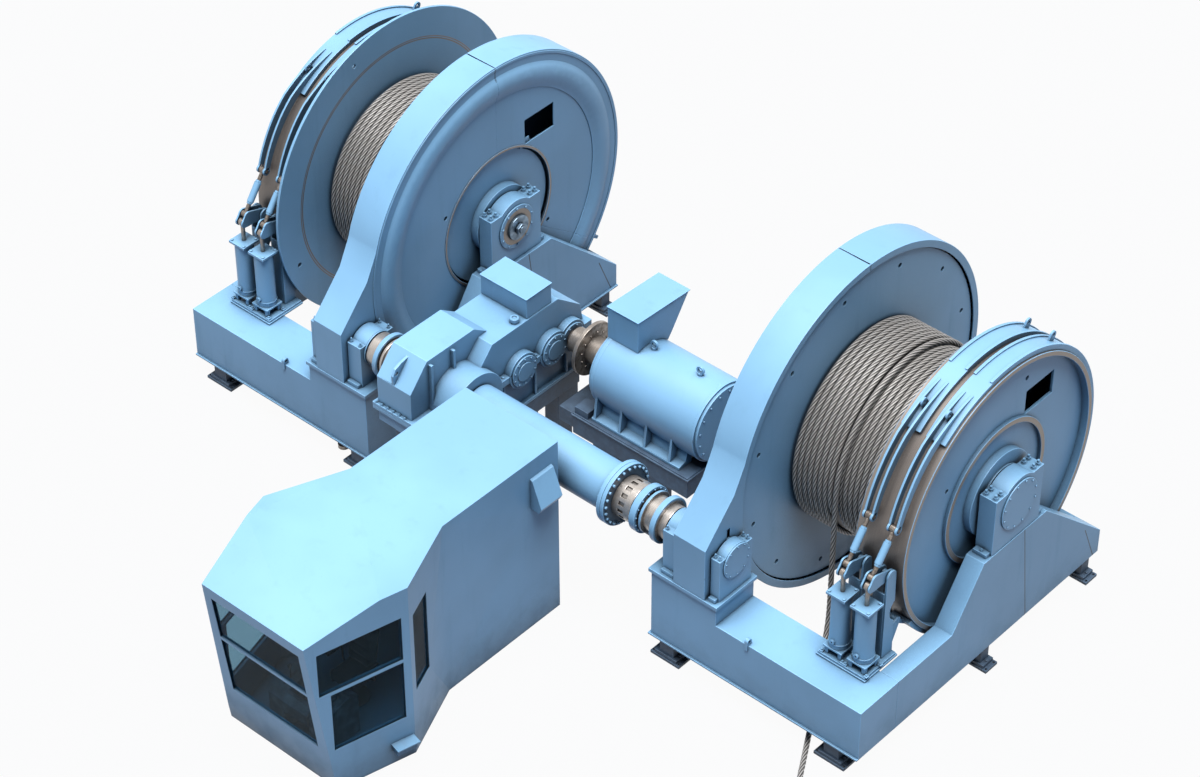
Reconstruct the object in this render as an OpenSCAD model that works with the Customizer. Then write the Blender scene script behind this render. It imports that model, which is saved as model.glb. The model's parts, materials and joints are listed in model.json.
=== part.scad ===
// Double drum hoisting winch with band brakes, gearbox, motor and control cabin.
// Millimetres, +Z up. X runs along the drum shafts, -Y is the cabin side.
// Lengths along Y count from the front face of the two drum frames.

/* [Drum frames] */
// Height of the feet under the frames
foot_h = 320; // [300:10:420]
// Half the overall length over the two frames
frame_half = 6000; // [5900:20:6400]
// Distance from the middle plane to the inner end of each frame
frame_in = 2570; // [2500:10:2620]
// Depth of the front beam
beam_d = 750; // [750:10:800]
// Height of the front beam
beam_h = 830; // [760:10:880]
// Length of the raised pinion seat on the front beam
seat_len = 1080; // [1060:10:1200]
// Height of the pinion seat above the front beam
seat_h = 345; // [300:5:380]
// Thickness of the side beams
side_t = 285; // [250:5:285]
// Height of the side beams under the drum bearings
side_h = 1666; // [1560:2:1700]
// Depth of the frames from front face to back end
frame_d = 5140; // [5100:10:5400]
// Height of the side beams at the back end
tail_h = 384; // [300:4:420]
// Length of the flat top under each drum bearing
top_len = 1330; // [1200:10:1500]
// Length of the slope in front of the bearing top
slope_len = 580; // [400:10:700]
// Thickness of the edge plates of the beams
edge_t = 30; // [20:2:40]

/* [Drums] */
// Distance from the front face of the frames to the drum axis
drum_y = 3096; // [3060:4:3200]
// Height of the drum axis above the underside of the frames
drum_rise = 2240; // [2210:5:2300]
// Radius of the drum shaft in its bearings
shaft_r = 190; // [150:5:220]
// Distance from the middle plane to the inner side of the gear guard
guard_in = 2950; // [2950:5:2970]
// Width of the gear guard
guard_w = 520; // [500:5:540]
// Outer radius of the gear guard
guard_r = 2500; // [2500:5:2520]
// Plate thickness of the gear guard
guard_t = 20; // [14:1:25]
// Radius of the centre opening of the gear guard
guard_hole = 1040; // [1000:10:1100]
// Thickness of the drum flanges
flange_t = 40; // [30:2:50]
// Radius of the flange beside the gear guard
gear_flange_r = 2378; // [2340:2:2384]
// Radius of the big flange on the brake side of the left drum
left_flange_r = 2340; // [2200:10:2400]
// Room between the brake wheel and the outer beam
wheel_room = 25; // [20:1:35]

/* [Gear train] */
// Teeth of the ring gear
ring_teeth = 121; // [120:1:121]
// Teeth of the pinion
pinion_teeth = 17; // [16:1:17]
// Height of the drum axis above the pinion axis
pinion_drop = 545; // [540:5:600]
// Face width of the ring gear
ring_w = 340; // [280:10:350]
// Radius of the pinion shaft in its bearings
pinion_shaft_r = 150; // [120:5:170]
// Side clearance of each tooth as a share of the tooth pitch
tooth_play = 0.03; // [0.02:0.005:0.04]

/* [Rope] */
// Rope diameter
rope_d = 78; // [70:1:78]
// Gap between neighbouring wraps
wrap_gap = 4; // [3:0.5:4.5]
// Centre radius of the wraps on the brake side
wrap_r = 1334; // [1300:2:1360]

/* [Band brakes] */
// Radius of the brake rim
rim_r = 1975; // [1900:5:1985]
// Width of the brake rim
rim_w = 765; // [755:5:770]
// Width of a brake band
band_w = 290; // [260:10:300]
// Distance between the two bands of a drum
band_pitch = 380; // [370:5:390]
// Thickness of a band with its lining
band_t = 60; // [50:5:70]
// Running clearance between the lining and the rim
lining_gap = 0.5; // [0.4:0.1:1.5]
// Radius of a brake cylinder
cyl_r = 138; // [110:2:145]
// Height of a brake cylinder between its end plates
cyl_h = 865; // [840:5:880]
// Radius of a brake cylinder's rod
rod_r = 30; // [24:1:34]

/* [Shaft line] */
// Radius of the torque tube
tube_r = 338; // [280:2:360]
// Length of the torque tube
tube_len = 2435; // [2400:5:2460]
// Radius of the torque tube's bolted flange
tube_flange_r = 450; // [400:5:480]
// Radius of the bare shaft beside the gearbox
neck_r = 250; // [220:5:270]

/* [Gearbox and motor] */
// Distance from the middle plane to the driven side of the gearbox
gear_face = 985; // [960:5:1000]
// Width of the gearbox main case
case_w = 865; // [840:5:900]
// Width of the gearbox front hood
hood_w = 615; // [560:5:640]
// Reach of the front hood around the output shaft
hood_r = 830; // [780:5:850]
// Height of the gearbox base above the underside of the frames
case_base = 1000; // [960:10:1040]
// Distance from the output shaft to the motor axis
motor_off = 1920; // [1900:5:1940]
// Radius of the motor
motor_r = 589; // [560:1:600]
// Length of the motor
motor_len = 1900; // [1800:10:1960]
// Radius of the brake disc on the motor shaft
disc_r = 400; // [320:5:420]

/* [Control cabin] */
// Distance of the cabin's middle from the middle plane
cab_x = 295; // [250:5:340]
// Distance from the front line of the frames to the cabin back
cab_gap = 140; // [120:5:240]
// Width of the narrow back of the cabin
cab_back_w = 1610; // [1500:10:1700]
// Width of the cabin at its widest
cab_wide_w = 2500; // [2300:10:2560]
// Width of the cabin at the front window
cab_front_w = 1760; // [1600:10:1900]
// Height of the cabin
cab_h = 2870; // [2700:10:2950]
// Length of the narrow back of the cabin
cab_back_len = 2120; // [1900:10:2200]
// Length of the flared part of the cabin
cab_flare_len = 1080; // [1000:10:1200]
// Length of the cabin from the widest place to the front window's top
cab_nose_len = 1430; // [1300:10:1500]
// Thickness of the cabin walls
wall_t = 60; // [50:2:80]

/* [Hidden] */
$fn = 96;

// Named clearances
run_gap = 0.05;
seat_gap = 0.3;
part_gap = 15;

// Paint and metal colours
paint = "#6f9bc8";
paint_dark = "#4f6f92";
steel = "#b9b6b0";
brown = "#8a7d70";
rope_grey = "#6e6a64";
glass_tint = [0.25, 0.4, 0.45, 0.5];

// Heights above the floor
beam_top = foot_h + beam_h;
seat_top = beam_top + seat_h;
side_top = foot_h + side_h;
drum_z = foot_h + drum_rise;
shaft_z = drum_z - pinion_drop;

// Gear sizes
gear_mod = 40;
ring_pitch = gear_mod * ring_teeth / 2;
pinion_pitch = gear_mod * pinion_teeth / 2;
axis_gap = ring_pitch + pinion_pitch;
shaft_y = drum_y - sqrt(axis_gap * axis_gap - pinion_drop * pinion_drop);
mesh_angle = atan2(shaft_z - drum_z, shaft_y - drum_y);

// Stations along the drum axis, for the right drum
guard_out = guard_in + guard_w;
beam_in1 = frame_in + side_t;
beam_out0 = frame_half - side_t;
gear_flange_x = guard_out - guard_t - part_gap - flange_t;
wind_x0 = gear_flange_x + flange_t;
rim_x1 = beam_out0 - wheel_room;
wind_x1 = rim_x1 - rim_w;
wind_len = wind_x1 - wind_x0;
ring_x0 = gear_flange_x - ring_w;
band_mid = (wind_x1 + flange_t + rim_x1) / 2;
band_x = [band_mid - band_pitch / 2, band_mid + band_pitch / 2];
house_in = [guard_in - part_gap - 245, guard_in - part_gap];
house_out = [guard_out + part_gap, guard_out + part_gap + 150];

// Rope stations
lap_pitch = rope_d + wrap_gap;
loop_rings = 24;
lead_gap = 46;
all_turns = floor(2 * (wind_len - rope_d - 8 - lap_pitch - 2 - lead_gap) / lap_pitch) / 2;
upper_turns = floor(all_turns / 2) + 0.5;
lower_turns = all_turns - upper_turns;
hex_in = rope_d / 2 * cos(30);
upper_r = wrap_r + rope_d;
upper_x0 = wind_x0 + rope_d / 2 + 4;
upper_x1 = upper_x0 + upper_turns * lap_pitch;
lead_x = upper_x1 + lap_pitch + 2;
lower_x0 = lead_x + lead_gap;
lower_x1 = lower_x0 + lower_turns * lap_pitch;
core_low = (wrap_r - hex_in) * cos(180 / loop_rings) - seat_gap;
core_high = (upper_r - hex_in) * cos(180 / loop_rings) - seat_gap;
core_step = lower_x0 - rope_d / 2 - seat_gap;
lead_step = 10;
lead_r = (core_high + seat_gap) / cos(lead_step / 2) + rope_d / 2;

// Brake linkage, as distances from the front line and heights above the floor
brake_z = beam_top + 62;
cyl_y = 640;
cyl_z0 = brake_z + 138;
cyl_z1 = cyl_z0 + cyl_h;
band_r0 = rim_r + lining_gap;
band_r1 = band_r0 + band_t;
pin_r = 26;
pivot = [985, drum_z - 10];
rod_pin = [cyl_y, drum_z + 10];
tie_low = [702, drum_z + 105];
fork_angle = 162;
fork_r = band_r1 + 62;
tie_top = [drum_y + fork_r * cos(fork_angle), drum_z + fork_r * sin(fork_angle)];
tie_len = norm(tie_top - tie_low);
tie_angle = atan2(tie_top[1] - tie_low[1], tie_top[0] - tie_low[0]);
anchor = [drum_y + (band_r1 + 65) * cos(207), drum_z + (band_r1 + 65) * sin(207)];

// Centre machinery
gx1 = -gear_face;
gx0 = gx1 - case_w;
split_z = shaft_z;
case_z = foot_h + case_base;
motor_y = shaft_y + motor_off;
motor_x0 = -80;
tube_x0 = gx1 + 170;
tube_x1 = tube_x0 + tube_len;
hub_x0 = tube_x1 + 170;
line_x1 = house_in[0] - 40;
input_r = 130;

// The whole object is centred on its box front to back
cab_back = -cab_gap;
cab_bend = cab_back - cab_back_len;
cab_wide = cab_bend - cab_flare_len;
cab_front = cab_wide - cab_nose_len;
mid_y = (drum_y + guard_r + cab_front) / 2;

// Places a sub-part on the right side, or mirrored on the left side
module place(s = 1) {
  translate([0, -mid_y, 0]) {
    if (s < 0) mirror([1, 0, 0]) children();
    else children();
  }
}

// Extrudes a shape drawn in Y and Z along X
module slab(x0, x1) {
  translate([x0, 0, 0]) rotate([90, 0, 90]) linear_extrude(x1 - x0) children();
}

// Round bar along X
module bar(x0, x1, r, y, z) {
  translate([x0, y, z]) rotate([0, 90, 0]) cylinder(r = r, h = x1 - x0);
}

module block(x0, x1, y0, y1, z0, z1) {
  translate([x0, y0, z0]) cube([x1 - x0, y1 - y0, z1 - z0]);
}

// Hexagon head bolt standing on a surface, its axis along Z
module bolt_up(x, y, z, r = 22) {
  translate([x, y, z]) cylinder(r = r, h = r * 0.9, $fn = 6);
}

// Ring of bolt heads on a face square to X
module bolt_ring(x, y, z, pcr, count, r, h) {
  for (i = [0 : count - 1]) {
    a = (i + 0.5) * 360 / count;
    translate([x, y + pcr * cos(a), z + pcr * sin(a)]) rotate([0, 90, 0]) cylinder(r = r, h = h, $fn = 6);
  }
}

function polar(r, a) = [r * cos(a), r * sin(a)];
function at_drum(r, a) = [drum_y, drum_z] + polar(r, a);

// Frames
module front_beam(s) place(s) color(paint) {
  seat_x1 = frame_in + seat_len;
  difference() {
    union() {
      block(frame_in, frame_half, 0, beam_d, foot_h, beam_top);
      block(frame_in, seat_x1, 0, beam_d, beam_top, seat_top);
      block(frame_in - edge_t, frame_half, -edge_t, beam_d, foot_h, foot_h + edge_t);
      block(frame_in - edge_t, seat_x1 + edge_t, -edge_t, beam_d + edge_t, seat_top - 2 * edge_t, seat_top);
    }
    block(guard_in + 40, guard_out - 40, 60, beam_d - 60, seat_top - 60, seat_top + 1);
  }
  // Lifting eye on the top edge
  difference() {
    union() {
      block(4140, 4190, -20, 70, beam_top - 90, beam_top + 50);
      bar(4140, 4190, 45, 25, beam_top + 50);
    }
    bar(4130, 4200, 22, 25, beam_top + 50);
  }
}

module side_profile() {
  y_top1 = drum_y + top_len / 2;
  y_top0 = drum_y - top_len / 2;
  polygon([
    [beam_d, foot_h], [frame_d, foot_h], [frame_d, foot_h + tail_h], [y_top1, side_top],
    [y_top0, side_top], [y_top0 - slope_len, beam_top], [beam_d, beam_top]
  ]);
}

module inner_beam(s) place(s) color(paint) {
  slab(frame_in, beam_in1) side_profile();
  block(frame_in - edge_t, frame_in, beam_d, frame_d, foot_h, foot_h + edge_t);
}

module outer_beam(s) place(s) color(paint) slab(beam_out0, frame_half) side_profile();

module rear_beams() color(paint) for (s = [-1, 1]) {
  place(s) block(beam_in1, beam_out0, frame_d - 300, frame_d, foot_h, foot_h + tail_h);
}

// Foot with two floor plates, foundation holes and a post
module foot(x, y, top) {
  difference() {
    block(x - 245, x + 245, y - 125, y + 125, 0, 45);
    for (i = [-1, 1], j = [-1, 1]) translate([x + i * 215, y + j * 85, -1]) cylinder(r = 18, h = 50);
  }
  block(x - 185, x + 185, y - 110, y + 110, 45, 95);
  block(x - 120, x + 120, y - 85, y + 85, 95, top);
  for (i = [-1, 1]) bolt_up(x + i * 155, y, 95);
}

// Base of the motor and of the gearbox
leg_x = [80, 800];
leg_w = 450;
base_y0 = motor_y - 660;
base_y1 = motor_y + 660;
base_top = shaft_z - motor_r - 6;
base_x0 = -276;
base_x1 = 1760;
plinth_x0 = gx0 - 40;
plinth_x1 = gx1 + 60;
plinth_y0 = shaft_y - 500;
plinth_y1 = shaft_y + 2120;

module feet() {
  color(paint_dark) for (s = [-1, 1]) place(s) {
    foot(frame_in + 255, 105, foot_h);
    foot(frame_half - 440, 105, foot_h);
    for (x = [frame_in + side_t / 2 - 25, frame_half - side_t / 2]) {
      foot(x, drum_y - 416, foot_h);
      foot(x, frame_d - 240, foot_h);
    }
  }
  color(paint_dark) place() {
    for (y = [base_y0 + 130, base_y1 - 130], x = leg_x) foot(x + leg_w / 2, y, foot_h);
    for (y = [plinth_y0 + 200, plinth_y1 - 200], x = [plinth_x0 + 160, plinth_x1 - 160]) foot(x, y, foot_h);
  }
}

// Gear guard, split upright above the drum axis and along a sloping line below it
chute_y = shaft_y - pinion_pitch - gear_mod - guard_t - 12;
chute_knee = shaft_z + 315;
chute_top = shaft_z + 905;
split_low = -37.5;
split_groove = 22;
lug_x0 = guard_in + 60;
lug_x1 = guard_out - 60;

module guard_outline(t) {
  translate([drum_y, drum_z]) circle(r = guard_r - t);
  polygon([
    [chute_y + t, seat_top], [chute_y + t, chute_knee - t / 2], [chute_y + 540, chute_top - t],
    [chute_y + 800, drum_z + 880], [1600, drum_z + 880], [1600, seat_top]
  ]);
}

module guard_shell() {
  // Rim around the gear and the pinion
  slab(guard_in, guard_out) difference() {
    guard_outline(0);
    guard_outline(guard_t);
    // Groove along the upper split
    translate([drum_y - split_groove / 2, drum_z + guard_r - guard_t * 0.6]) square([split_groove, guard_t]);
  }
  // Inner side plate with its centre opening and inspection window
  slab(guard_in, guard_in + guard_t) difference() {
    guard_outline(0);
    translate([drum_y, drum_z]) circle(r = guard_hole);
    translate([drum_y + 560, drum_z + 930]) square([590, 400]);
    translate([shaft_y, shaft_z]) circle(r = pinion_shaft_r + part_gap);
    for (a = [152, 328]) translate(at_drum(guard_hole + 140, a)) circle(r = 34);
  }
  // Rolled bead and edge strip on the inner side
  translate([guard_in, drum_y, drum_z]) rotate([0, -90, 0]) rotate_extrude() {
    polygon([[1950, 0], [1950, 14], [2010, 22], [2060, 52], [2150, 66], [2240, 52], [2290, 22], [2330, 0]]);
    translate([guard_r - 60, 0]) square([40, 10]);
    translate([guard_hole, 0]) square([40, 10]);
  }
  // Lip that closes the drum side outside the flange
  slab(guard_out - guard_t, guard_out) difference() {
    guard_outline(0);
    translate([drum_y, drum_z]) circle(r = gear_flange_r + part_gap);
    translate([shaft_y, shaft_z]) circle(r = pinion_shaft_r + part_gap);
    translate([shaft_y + 10, shaft_z + 240]) square([60, 160]);
  }
}

// The front or the rear side of the split, drawn in Y and Z
module split_side(side) {
  low_y = 4000 / tan(-split_low);
  translate([drum_y, drum_z]) polygon(side < 0
    ? [[0, 0], [0, 4000], [-4000, 4000], [-4000, -4000], [low_y, -4000]]
    : [[0, 0], [low_y, -4000], [low_y, 4000], [0, 4000]]);
}

// Flange plate along the lower split
module split_flange(side) {
  slab(lug_x0, lug_x1) translate([drum_y, drum_z]) rotate(split_low) {
    translate([guard_r - 4, side < 0 ? -26 : 0]) square([194, 26]);
  }
}

module guard_front(s) place(s) color(paint) {
  intersection() {
    guard_shell();
    slab(guard_in - 80, guard_out + 50) split_side(-1);
  }
  split_flange(-1);
}

module guard_rear(s) place(s) color(paint) {
  intersection() {
    guard_shell();
    slab(guard_in - 80, guard_out + 50) split_side(1);
  }
  split_flange(1);
}

// Bearing housing on a base height, drawn in Y and Z
module housing_shape(y, z, base, half, shoulder, dome, bore) {
  difference() {
    union() {
      translate([y - half, base]) square([2 * half, z + shoulder - base]);
      intersection() {
        translate([y, z]) circle(r = dome);
        translate([y - dome, z]) square([2 * dome, dome]);
      }
    }
    translate([y, z]) circle(r = bore);
  }
}

pin_half = 315;
pin_dome = 262;
drum_half = 500;
drum_dome = 396;
block_x = [[frame_in + 50, beam_in1 - 6], [beam_out0 + 12, frame_half - 12]];

module pinion_bearings(s) place(s) color(paint) {
  for (h = [house_in, house_out]) {
    slab(h[0], h[1]) housing_shape(shaft_y, shaft_z, seat_top, pin_half, 60, pin_dome, pinion_shaft_r + run_gap);
    for (i = [-1, 1], x = [h[0] + 45, h[1] - 45]) bolt_up(x, shaft_y + i * (pin_half - 34), shaft_z + 60, 26);
    // Keeper bar at the front foot
    block(h[0] + 20, h[1] - 20, shaft_y - pin_half - 60, shaft_y - pin_half, seat_top, seat_top + 60);
  }
}

module drum_bearings(s) place(s) color(paint) {
  for (b = block_x) {
    slab(b[0], b[1]) difference() {
      housing_shape(drum_y, drum_z, side_top, drum_half, 90, drum_dome, shaft_r + run_gap);
      // Relief under the shoulders
      for (i = [-1, 1]) translate([drum_y + i * drum_half, side_top + 330]) circle(r = 70);
    }
    for (i = [-1, 1], j = [0, 1], k = [0, 1]) {
      bolt_up(b[0] + 55 + k * (b[1] - b[0] - 110), drum_y + i * (drum_half - 36 - j * 56), drum_z + 90, 22);
    }
    for (y = [drum_y - drum_half - 90, drum_y + drum_half]) {
      block(b[0] + 25, b[1] - 25, y, y + 90, side_top, side_top + 60);
      bolt_up((b[0] + b[1]) / 2, y + 45, side_top + 60, 26);
    }
  }
}

cover_r = 372;
cover_t = 22;

// Round cover on an outer bearing face
module end_cover(x, y, z, r, t, count, bolt_r) {
  bar(x, x + t, r, y, z);
  bolt_ring(x + t, y, z, r - 2 * bolt_r, count, bolt_r, bolt_r * 0.7);
}

module bearing_covers() color(paint) for (s = [-1, 1]) place(s) {
  end_cover(block_x[1][1], drum_y, drum_z, cover_r, cover_t, 12, 18);
  end_cover(house_out[1], shaft_y, shaft_z, 255, cover_t, 10, 14);
  // Inner covers leave the shafts free
  difference() {
    bar(block_x[0][0] - cover_t, block_x[0][0], cover_r - 30, drum_y, drum_z);
    bar(block_x[0][0] - cover_t - 1, block_x[0][0] + 1, shaft_r + 2, drum_y, drum_z);
  }
  bolt_ring(block_x[0][0] - cover_t - 14, drum_y, drum_z, cover_r - 70, 10, 20, 14);
  difference() {
    bar(house_in[0] - cover_t, house_in[0], 258, shaft_y, shaft_z);
    bar(house_in[0] - cover_t - 1, house_in[0] + 1, pinion_shaft_r + 2, shaft_y, shaft_z);
  }
}

// Drum with both flanges, the brake wheel and its hub
wheel_y = 560;
hub_r = 620;

module drum(s) place(s) color(paint) {
  flange_r = s < 0 ? left_flange_r : rim_r;
  web_x = rim_x1 - 150;
  difference() {
    union() {
      // Hub disc seen through the centre opening of the guard
      bar(guard_in + guard_t + 20, guard_in + guard_t + 60, guard_hole - 2 * part_gap, drum_y, drum_z);
      bar(beam_in1 + 5, gear_flange_x, hub_r - 100, drum_y, drum_z);
      // Gear side flange
      bar(gear_flange_x, wind_x0, gear_flange_r, drum_y, drum_z);
      // Plain core under the rope
      bar(wind_x0, core_step, core_high, drum_y, drum_z);
      bar(core_step, wind_x1, core_low, drum_y, drum_z);
      // Brake side flange and brake wheel
      bar(wind_x1, wind_x1 + flange_t, flange_r, drum_y, drum_z);
      bar(wind_x1 + flange_t, rim_x1, rim_r, drum_y, drum_z);
      bar(rim_x1, beam_out0 - 5, hub_r - 200, drum_y, drum_z);
    }
    bar(beam_in1, beam_out0, shaft_r + run_gap, drum_y, drum_z);
    // Hollow core around the shaft
    difference() {
      bar(wind_x0 + 60, wind_x1 - 60, core_low - 60, drum_y, drum_z);
      bar(wind_x0, wind_x1, shaft_r + 90, drum_y, drum_z);
    }
    // Recess of the brake wheel with its hub ring left standing
    difference() {
      bar(web_x + 40, rim_x1 + 1, rim_r - 70, drum_y, drum_z);
      bar(web_x, rim_x1 + 2, hub_r, drum_y, drum_z);
      difference() {
        bar(web_x, web_x + 90, 1040, drum_y, drum_z);
        bar(web_x - 1, web_x + 91, 960, drum_y, drum_z);
      }
    }
    // Pocket between the brake flange and the wheel web
    difference() {
      bar(wind_x1 + flange_t + 30, web_x, rim_r - 70, drum_y, drum_z);
      bar(wind_x1, rim_x1, hub_r + 100, drum_y, drum_z);
    }
    // Window and holes in the wheel web
    translate([web_x - 1, drum_y + wheel_y, drum_z + 870]) cube([60, 590, 380]);
    for (p = [at_drum(1584, 70), at_drum(1200, 148)]) bar(web_x - 1, web_x + 60, 34, p[0], p[1]);
    // Rigging holes in the flanges
    for (i = [0 : 11]) {
      p = at_drum(gear_flange_r - 200, i * 30 + 12);
      bar(gear_flange_x - 1, wind_x0 + 1, 36, p[0], p[1]);
    }
    if (s < 0) {
      for (i = [0 : 3]) {
        p = at_drum(2110, i * 90 + 20);
        bar(wind_x1 - 1, wind_x1 + flange_t + 1, 36, p[0], p[1]);
      }
    }
  }
}

module drum_shaft(s) place(s) color(steel) {
  bar(block_x[0][0] - cover_t - 40, block_x[1][1], shaft_r, drum_y, drum_z);
  bar(block_x[0][0] - cover_t - 120, block_x[0][0] - cover_t - 40, 60, drum_y, drum_z);
  translate([block_x[0][0] - cover_t - 100, drum_y, drum_z]) rotate([0, 90, 0]) cylinder(r = 95, h = 50, $fn = 6);
}

// Involute tooth outline
function inv(a) = tan(a) * 180 / PI - a;
function tooth_half(r, rp, z) =
  let (rb = rp * cos(20), a = r > rb ? acos(rb / r) : 0)
  (90 - 360 * tooth_play) / z + inv(20) - inv(a);
function tooth_radii(rp) =
  let (rf = rp - 1.25 * gear_mod, rb = max(rp * cos(20), rf + 2))
  [rf, rb, rp + 0.1, rp + gear_mod];
function gear_points(z, rp, phase) = [
  for (i = [0 : z - 1], side = [-1, 1], k = [0 : 3])
    let (rr = tooth_radii(rp), n = side < 0 ? k : 3 - k, a = phase + i * 360 / z + side * tooth_half(rr[n], rp, z))
    polar(rr[n], a)
];

module ring_gear(s) place(s) color(steel) slab(ring_x0, gear_flange_x) difference() {
  translate([drum_y, drum_z]) polygon(gear_points(ring_teeth, ring_pitch, mesh_angle));
  translate([drum_y, drum_z]) circle(r = ring_pitch - 170);
}

// Both pinions with their shafts
module pinions() color(steel) for (s = [-1, 1]) place(s) {
  slab(ring_x0 - 5, gear_flange_x + 5) {
    translate([shaft_y, shaft_z])
      polygon(gear_points(pinion_teeth, pinion_pitch, mesh_angle + 180 + 180 / pinion_teeth));
  }
  bar(line_x1, house_out[1] - 4, pinion_shaft_r, shaft_y, shaft_z);
}

// Tube of equal rings of corner points
function ring_at(c, u, v, r, sides) = [
  for (i = [0 : sides - 1]) c + r * cos(i * 360 / sides) * u + r * sin(i * 360 / sides) * v
];
function skin(points, sides) = let (n = len(points) / sides) concat(
  [for (i = [1 : sides - 2]) [0, i + 1, i]],
  [for (k = [0 : n - 2], i = [0 : sides - 1])
    let (a = k * sides + i, b = k * sides + (i + 1) % sides) [a, b, b + sides]],
  [for (k = [0 : n - 2], i = [0 : sides - 1])
    let (a = k * sides + i, b = k * sides + (i + 1) % sides) [a, b + sides, a + sides]],
  [for (i = [1 : sides - 2]) [(n - 1) * sides, (n - 1) * sides + i, (n - 1) * sides + i + 1]]
);

// Rings of a winding, the ends run straight for one rope diameter
function wrap_ring(r, x, a, off) =
  let (t = [0, -sin(a), cos(a)], c = [x, drum_y + r * cos(a), drum_z + r * sin(a)] + off * t)
  ring_at(c, [1, 0, 0], [0, cos(a), sin(a)], rope_d / 2, 6);
function wrap_points(r, x0, x1, a0, turns) =
  let (n = turns * loop_rings)
  concat(
    wrap_ring(r, x0, a0, -rope_d),
    [for (k = [0 : n], p = wrap_ring(r, x0 + (x1 - x0) * k / n, a0 + turns * 360 * k / n, 0)) p],
    wrap_ring(r, x1, a0 + turns * 360, rope_d)
  );
function wrap_gap_at(r) = min([
  for (a = [0 : 15 : 345], p = wrap_ring(r, 0, a, 0), q = wrap_ring(r, lap_pitch, a, 0)) norm(p - q)
]);

module winding(s) place(s) color(rope_grey) {
  lower = wrap_points(wrap_r, lower_x0, lower_x1, 322, lower_turns);
  upper = wrap_points(upper_r, upper_x0, upper_x1, 20, upper_turns);
  polyhedron(points = lower, faces = skin(lower, 6));
  polyhedron(points = upper, faces = skin(upper, 6));
}
echo(least_gap_of_wraps = min(wrap_gap_at(wrap_r), wrap_gap_at(upper_r)));

// Rope over the drum's top, down its front and along the floor
function unit(v) = v / norm(v);
lead_turns = [20 : lead_step : 180];
route_left = [
  [-4178, 1684, 2450], [-4178, 1684, 2210], [-4178, 1684, 1970], [-4178, 1684, 1730], [-4178, 1684, 1490],
  [-4178, 1684, 1250], [-4178, 1684, 1010], [-4178, 1684, 790], [-4176, 1678, 580], [-4160, 1640, 390],
  [-4115, 1545, 230], [-4035, 1400, 110], [-3925, 1215, 50], [-3800, 1010, 42], [-3670, 805, 42],
  [-3560, 645, 50], [-3480, 525, 88], [-3413, 425, 88]
];
route_right = [
  [4178, 1684, 2450], [4178, 1684, 2210], [4178, 1684, 1970], [4178, 1684, 1730], [4178, 1684, 1490],
  [4178, 1684, 1250], [4178, 1684, 1010], [4178, 1684, 790], [4180, 1678, 580], [4196, 1645, 390],
  [4245, 1550, 230], [4330, 1400, 110], [4445, 1215, 50], [4580, 1000, 42], [4725, 770, 42],
  [4865, 545, 42], [5000, 320, 42], [5130, 100, 42], [5255, -110, 44], [5370, -300, 64],
  [5460, -450, 88], [5530, -565, 88]
];
function rope_path(s, route) = concat(
  [for (a = lead_turns) [s * lead_x, drum_y + lead_r * cos(a), drum_z + lead_r * sin(a)]],
  [for (p = route) p + [s * (lead_x - 4177), 0, 0]]
);
function rope_points(path) = let (n = len(path)) [
  for (k = [0 : n - 1], p = let (
    t = unit(path[min(k + 1, n - 1)] - path[max(k - 1, 0)]),
    side = abs(t[0]) > 0.9 ? [0, 0, 1] : [1, 0, 0],
    u = unit(side - (side * t) * t),
    v = cross(t, u)
  ) ring_at(path[k], u, v, rope_d / 2, 8)) p
];

module free_rope(s) color(rope_grey) translate([0, -mid_y, 0]) {
  points = rope_points(rope_path(s, s < 0 ? route_left : route_right));
  polyhedron(points = points, faces = skin(points, 8));
}

// Cast socket with an eye at the end of each rope
module socket_at(s, route) {
  n = len(route);
  d = route[n - 1] - route[n - 2];
  e = route[n - 1];
  translate([e[0] + s * (lead_x - 4177), e[1] - mid_y, e[2]]) rotate([0, 0, atan2(d[1], d[0])]) {
    translate([seat_gap, 0, 0]) rotate([0, 90, 0]) cylinder(r = 56, h = 50);
    translate([50, 0, 0]) rotate([0, 90, 0]) cylinder(r1 = 56, r2 = 84, h = 160);
    difference() {
      union() {
        translate([210, -84, -30]) cube([90, 168, 60]);
        translate([300, 0, -30]) cylinder(r = 84, h = 60);
      }
      translate([310, 0, -31]) cylinder(r = 34, h = 62);
    }
  }
}

module rope_sockets() color(steel) {
  socket_at(-1, route_left);
  socket_at(1, route_right);
}

// Brake bands with lugs, forks and anchor tongues
function fork_out(a) = band_r1 + 14 + 116 * min(1, (a - 108) / 24) - 30 * max(0, (a - 140) / (fork_angle - 140));

module slot2(w, l0, l1) {
  translate([-l0, 0]) circle(r = w);
  translate([l1, 0]) circle(r = w);
  translate([-l0, -w]) square([l0 + l1, 2 * w]);
}

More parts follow.
